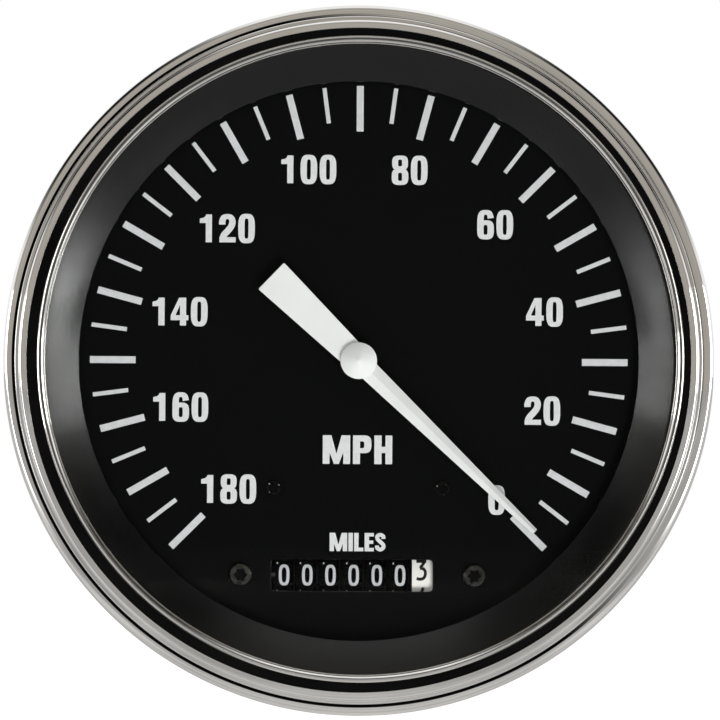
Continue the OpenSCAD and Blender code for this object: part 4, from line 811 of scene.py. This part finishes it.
# The case's section: floor and inner corner, the inside of the wall, flange, neck, barrel, rounded back.
def caseSection(shell):
    centre = (shell["barrel"] - shell["corner"], shell["back"] + shell["corner"])
    innerRound = shell["inside"] - centre[0]
    return np.vstack([
        [(0.0, shell["floor"])],
        arc(centre, innerRound, -90, 0, shell["points"]["inside"]),
        [(shell["inside"], shell["flangeFront"]), (shell["flange"], shell["flangeFront"]),
         (shell["flange"], shell["flangeBack"]), (shell["neck"], shell["flangeBack"]),
         (shell["barrel"], 0.0)],
        arc(centre, shell["corner"], 0, -90, shell["points"]["outside"]),
        [(0.0, shell["back"])]])


addPiece("caseShell", turned(caseSection(case), case["steps"], closed=False), "case_enamel", ["case"])


# A screw thread: r = major - depth * |2 frac(z / pitch - a / 2 pi) - 1|, cut to the root at both ends
# and grown to its full height over one pitch.
def threadReach(along, thread):
    pitch = thread["pitch"]
    phase = (along[None, :] / pitch - fullTurn(thread["steps"])[:, None] / (2 * np.pi)) % 1.0
    ends = np.clip(np.minimum(along - along.min(), along.max() - along) / pitch, 0, 1)
    return thread["major"] - thread["depth"] * (1 - ends[None, :] * (1 - np.abs(2 * phase - 1)))


# Two threaded studs, each with a shoulder against the back.
studs = {"across": 38.1, "major": 2.4, "depth": 0.28, "pitch": 0.8, "end": -84.0, "start": -55.6,
         "shoulder": (2.1, 4.5), "overlap": 0.4, "back": -54.0, "soften": 0.25,
         "steps": 40, "shoulderSteps": 64, "rowsPerTurn": 9}


# A stud's thread is carried from its end into the shoulder, and closed at both ends.
def studGrid(middle, stud):
    end, start = stud["end"], stud["start"] + stud["overlap"]
    along = np.linspace(end, start, int(stud["rowsPerTurn"] * (start - end) / stud["pitch"]) + 1)
    reach = threadReach(along, stud)
    reach = np.hstack([0 * reach[:, :1], reach, 0 * reach[:, :1]])
    along = np.concatenate([along[:1], along, along[-1:]])
    return polarGrid(reach, along[None, :], middle)


studShoulder = softened(boxCorners(studs["shoulder"], (studs["back"], studs["start"])), studs["soften"])
studGrids = []
for side in (-1, 1):
    middle = (side * studs["across"], 0.0)
    studGrids += [studGrid(middle, studs), turned(studShoulder, studs["shoulderSteps"], middle)]
addPiece("studThreads", joined(studGrids), "zinc_steel", ["mounting_studs"], crisp=50.0)

# The cable nipple: a chamfered hexagon, then a threaded spigot with a smooth bore.
nipple = {"flats": 22.0, "hexBack": -57.0, "hexFront": -54.0, "chamfer": (1.2, 1.09, 1.02),
          "chamferDepth": 0.8, "major": 7.95, "depth": 0.45, "pitch": 1.2, "end": -69.0, "bore": 4.5,
          "boreLead": 0.3, "boreFloor": -58.0, "shaft": 1.9, "steps": 144, "rows": 100}


# r = flats / 2 / cos(a mod 60 - 30) on the hexagon, held inside the cone that chamfers its corners.
def nippleGrid(fitting):
    sixths = (fullTurn(fitting["steps"]) + np.pi / 6) % (np.pi / 3) - np.pi / 6
    hexagon = fitting["flats"] / 2 / np.cos(sixths)
    corners = np.minimum(hexagon[:, None], fitting["flats"] / 2 * np.array(fitting["chamfer"])[None, :])
    hexBack, hexFront, end = fitting["hexBack"], fitting["hexFront"], fitting["end"]
    bore, lead, shaft = fitting["bore"], fitting["boreLead"], fitting["shaft"]
    along = np.linspace(hexBack, end, fitting["rows"])
    inner = np.tile([bore + lead, bore, bore, shaft, shaft], (fitting["steps"], 1))
    reach = np.hstack([corners, threadReach(along, fitting), inner])
    depth = np.concatenate([[hexFront, hexBack + fitting["chamferDepth"], hexBack], along,
                            [end, end + lead, fitting["boreFloor"], fitting["boreFloor"], hexFront]])
    return polarGrid(reach, depth[None, :], closed=True)


addPiece("nippleThread", nippleGrid(nipple), "zinc_steel", ["cable_nipple"], crisp=50.0)
print("case, studs and nipple made")


# Floor, light, camera

stageFloor = {"level": cadBounds[0].z, "size": 6.0}
floorPaint = {"tone": (0.58, 0.56, 0.53, 1.0), "strength": 0.3, "lift": 0.9,
              "side": (5.0, 11.5), "sideFrom": (0.09, 0.3), "slant": 0.345,
              "slantBack": (-0.055, -0.04), "slantEnd": (0.016, 0.002),
              "near": 0.15, "nearFrom": (-0.03, -0.012), "flank": 0.25, "flankFrom": (0.03, 0.06),
              "flankBack": (-0.045, -0.03), "flankEnd": (-0.006, -0.014)}


# A pale floor that glows a little and leaves the rest to the lamps, so that the object's shadow stays; to
# gloss it
# glows far brighter in strips, painted reflections for the highlights on the trim ring and bezel:
# glow = strength + lift * seen + mirrored * (beside + flank + near). Beside is a slanting strip to the
# left and right, along y = -slant * |x|, flank a narrow strip in front of the rim and near the floor
# under it; each of them is a product of smooth steps in the place on the floor.
def floorFinish(paint):
    material, tree = newMaterial("paleFloor")
    tree.nodes.remove(tree.nodes["Principled BSDF"])
    place = addNode(tree, "TexCoord").outputs["Object"]
    split = addNode(tree, "SeparateXYZ", {"Vector": place})
    right, back = split.outputs["X"], split.outputs["Y"]
    left, away = product(tree, right, -1.0), mathNode(tree, "ABSOLUTE", right)
    leftSide = product(tree, stepped(tree, left, paint["sideFrom"]), paint["side"][0])
    rightSide = product(tree, stepped(tree, right, paint["sideFrom"]), paint["side"][1])
    across = mathNode(tree, "MULTIPLY_ADD", away, paint["slant"], back)
    beside = product(tree, mathNode(tree, "ADD", leftSide, rightSide),
                     stepped(tree, across, paint["slantBack"]), stepped(tree, across, paint["slantEnd"]))
    flank = product(tree, stepped(tree, away, paint["flankFrom"]), paint["flank"],
                    stepped(tree, back, paint["flankBack"]), stepped(tree, back, paint["flankEnd"]))
    close = mathNode(tree, "MULTIPLY_ADD", stepped(tree, back, paint["nearFrom"]), paint["near"], flank)
    path = addNode(tree, "LightPath")
    level = mathNode(tree, "MULTIPLY_ADD", path.outputs["Is Camera Ray"], paint["lift"], paint["strength"])
    level = mathNode(tree, "MULTIPLY_ADD", path.outputs["Is Glossy Ray"],
                     mathNode(tree, "ADD", beside, close), level)
    lit = addNode(tree, "BsdfDiffuse", {"Color": paint["tone"]})
    glow = addNode(tree, "Emission", {"Color": (1.0, 1.0, 1.0, 1.0), "Strength": level})
    both = addNode(tree, "AddShader", {0: lit.outputs["BSDF"], 1: glow.outputs["Emission"]})
    tree.links.new(both.outputs["Shader"], tree.nodes["Material Output"].inputs["Surface"])
    return material


floorSides = (-stageFloor["size"] / 2, stageFloor["size"] / 2)
floorMesh = bpy.data.meshes.new("floor")
floorMesh.from_pydata([(*corner, stageFloor["level"]) for corner in boxCorners(floorSides, floorSides)],
                      [], [(0, 1, 2, 3)])
floorMesh.materials.append(floorFinish(floorPaint))
floor = bpy.data.objects.new("floor", floorMesh)
scene.collection.objects.link(floor)
floor.visible_shadow = False

# The room: plain grey light, a white ground for the camera; in gloss a white wall beside and behind
# the object, a warm grey room in front of it, dark round the camera and in the upper corners.
room = {"light": (0.12, 0.12, 0.12, 1.0), "white": (1.0, 1.0, 1.0, 1.0),
        "warm": (0.44, 0.415, 0.375, 1.0), "wallFrom": (-0.34, -0.16),
        "lens": (0.09, 0.09, 0.09, 1.0), "lensFrom": (-0.985, -0.955),
        "corner": (0.015, 0.015, 0.015, 1.0), "cornerSharp": (0.5, 0.95), "cornerUp": (0.2, 0.45),
        "cornerFrom": (-0.45, -0.32), "cornerTo": (0.45, 0.65), "leastSpread": 0.001}


# A ray's heading is split into sideways x, ahead y and upward z. A corner is where |2xz| / (x^2 + z^2),
# the sine of twice the bearing, is near 1; the wall and the camera's dark spot step with y.
def roomLight(tree):
    heading = addNode(tree, "TexCoord").outputs["Generated"]
    split = addNode(tree, "SeparateXYZ", {"Vector": heading})
    sideways, ahead, upward = (split.outputs[axis] for axis in "XYZ")
    double = mathNode(tree, "ABSOLUTE", product(tree, sideways, upward, 2.0))
    spread = mathNode(tree, "MULTIPLY_ADD", sideways, sideways, product(tree, upward, upward))
    sine = mathNode(tree, "DIVIDE", double, mathNode(tree, "MAXIMUM", spread, room["leastSpread"]))
    dark = mathNode(tree, "SUBTRACT", stepped(tree, ahead, room["cornerFrom"]),
                    stepped(tree, ahead, room["cornerTo"]))
    corner = product(tree, stepped(tree, sine, room["cornerSharp"]), stepped(tree, upward, room["cornerUp"]),
                     dark)
    front = mixed(tree, stepped(tree, ahead, room["lensFrom"]), room["lens"], room["warm"])
    mirrored = mixed(tree, stepped(tree, ahead, room["wallFrom"]), front, room["white"])
    mirrored = mixed(tree, corner, mirrored, room["corner"])
    path = addNode(tree, "LightPath").outputs
    seen = mathNode(tree, "MAXIMUM", path["Is Glossy Ray"], path["Is Transmission Ray"])
    shown = mixed(tree, seen, room["light"], mirrored)
    return mixed(tree, path["Is Camera Ray"], shown, room["white"])


world = bpy.data.worlds.new("studioRoom")
world.use_nodes = True
world.node_tree.links.new(roomLight(world.node_tree), world.node_tree.nodes["Background"].inputs["Color"])
scene.world = world

# Each lamp's place and size in metres, its watts, and whether metal and glass show it.
lamps = {"leftBox": ((-0.97, -0.25, 0.03), (0.32, 0.34), 1.42, True),
         "rightBox": ((0.97, -0.25, 0.03), (0.32, 0.4), 2.5, True),
         "frontFill": ((0.0, -1.6, 0.1), (0.5, 0.5), 5.0, False),
         "lowKey": ((0.28, -0.8, -0.56), (0.35, 0.35), 7.35, False)}
for name, (where, size, watts, mirroredToo) in lamps.items():
    lamp = bpy.data.lights.new(name, "AREA")
    lamp.shape = "RECTANGLE"
    lamp.size, lamp.size_y = size
    lamp.energy = watts
    box = bpy.data.objects.new(name, lamp)
    box.location = where
    box.rotation_euler = box.location.to_track_quat("Z", "Y").to_euler()
    box.visible_glossy = mirroredToo
    scene.collection.objects.link(box)

# The camera stands a little below the dial's axis, at a distance in metres, and is rolled a little.
photo = {"size": 720.0, "middle": (358.74, 360.35), "mmPerPixel": 0.17864, "distance": 1.1,
         "roll": -0.34, "below": 1.2, "rim": -0.0019, "sensor": 36.0, "clip": (0.05, 20.0)}
camera = bpy.data.cameras.new("photoCamera")
camera.sensor_width = photo["sensor"]
camera.lens = photo["sensor"] * photo["distance"] / (photo["size"] * photo["mmPerPixel"] * mm)
camera.clip_start, camera.clip_end = photo["clip"]
viewer = bpy.data.objects.new("photoCamera", camera)
offset = (photo["size"] / 2 - np.array(photo["middle"])) * photo["mmPerPixel"] * mm
below = np.radians(photo["below"])
roll = np.radians(photo["roll"])
viewer.location = (offset[0] - photo["distance"] * np.sin(below) * np.sin(roll),
                   photo["rim"] - photo["distance"] * np.cos(below),
                   -offset[1] - photo["distance"] * np.sin(below) * np.cos(roll))
viewer.rotation_euler = (np.pi / 2 + below, roll, 0.0)
scene.collection.objects.link(viewer)
scene.camera = viewer
scene.view_settings.view_transform = "Standard"
print("stage, lamps and camera set")
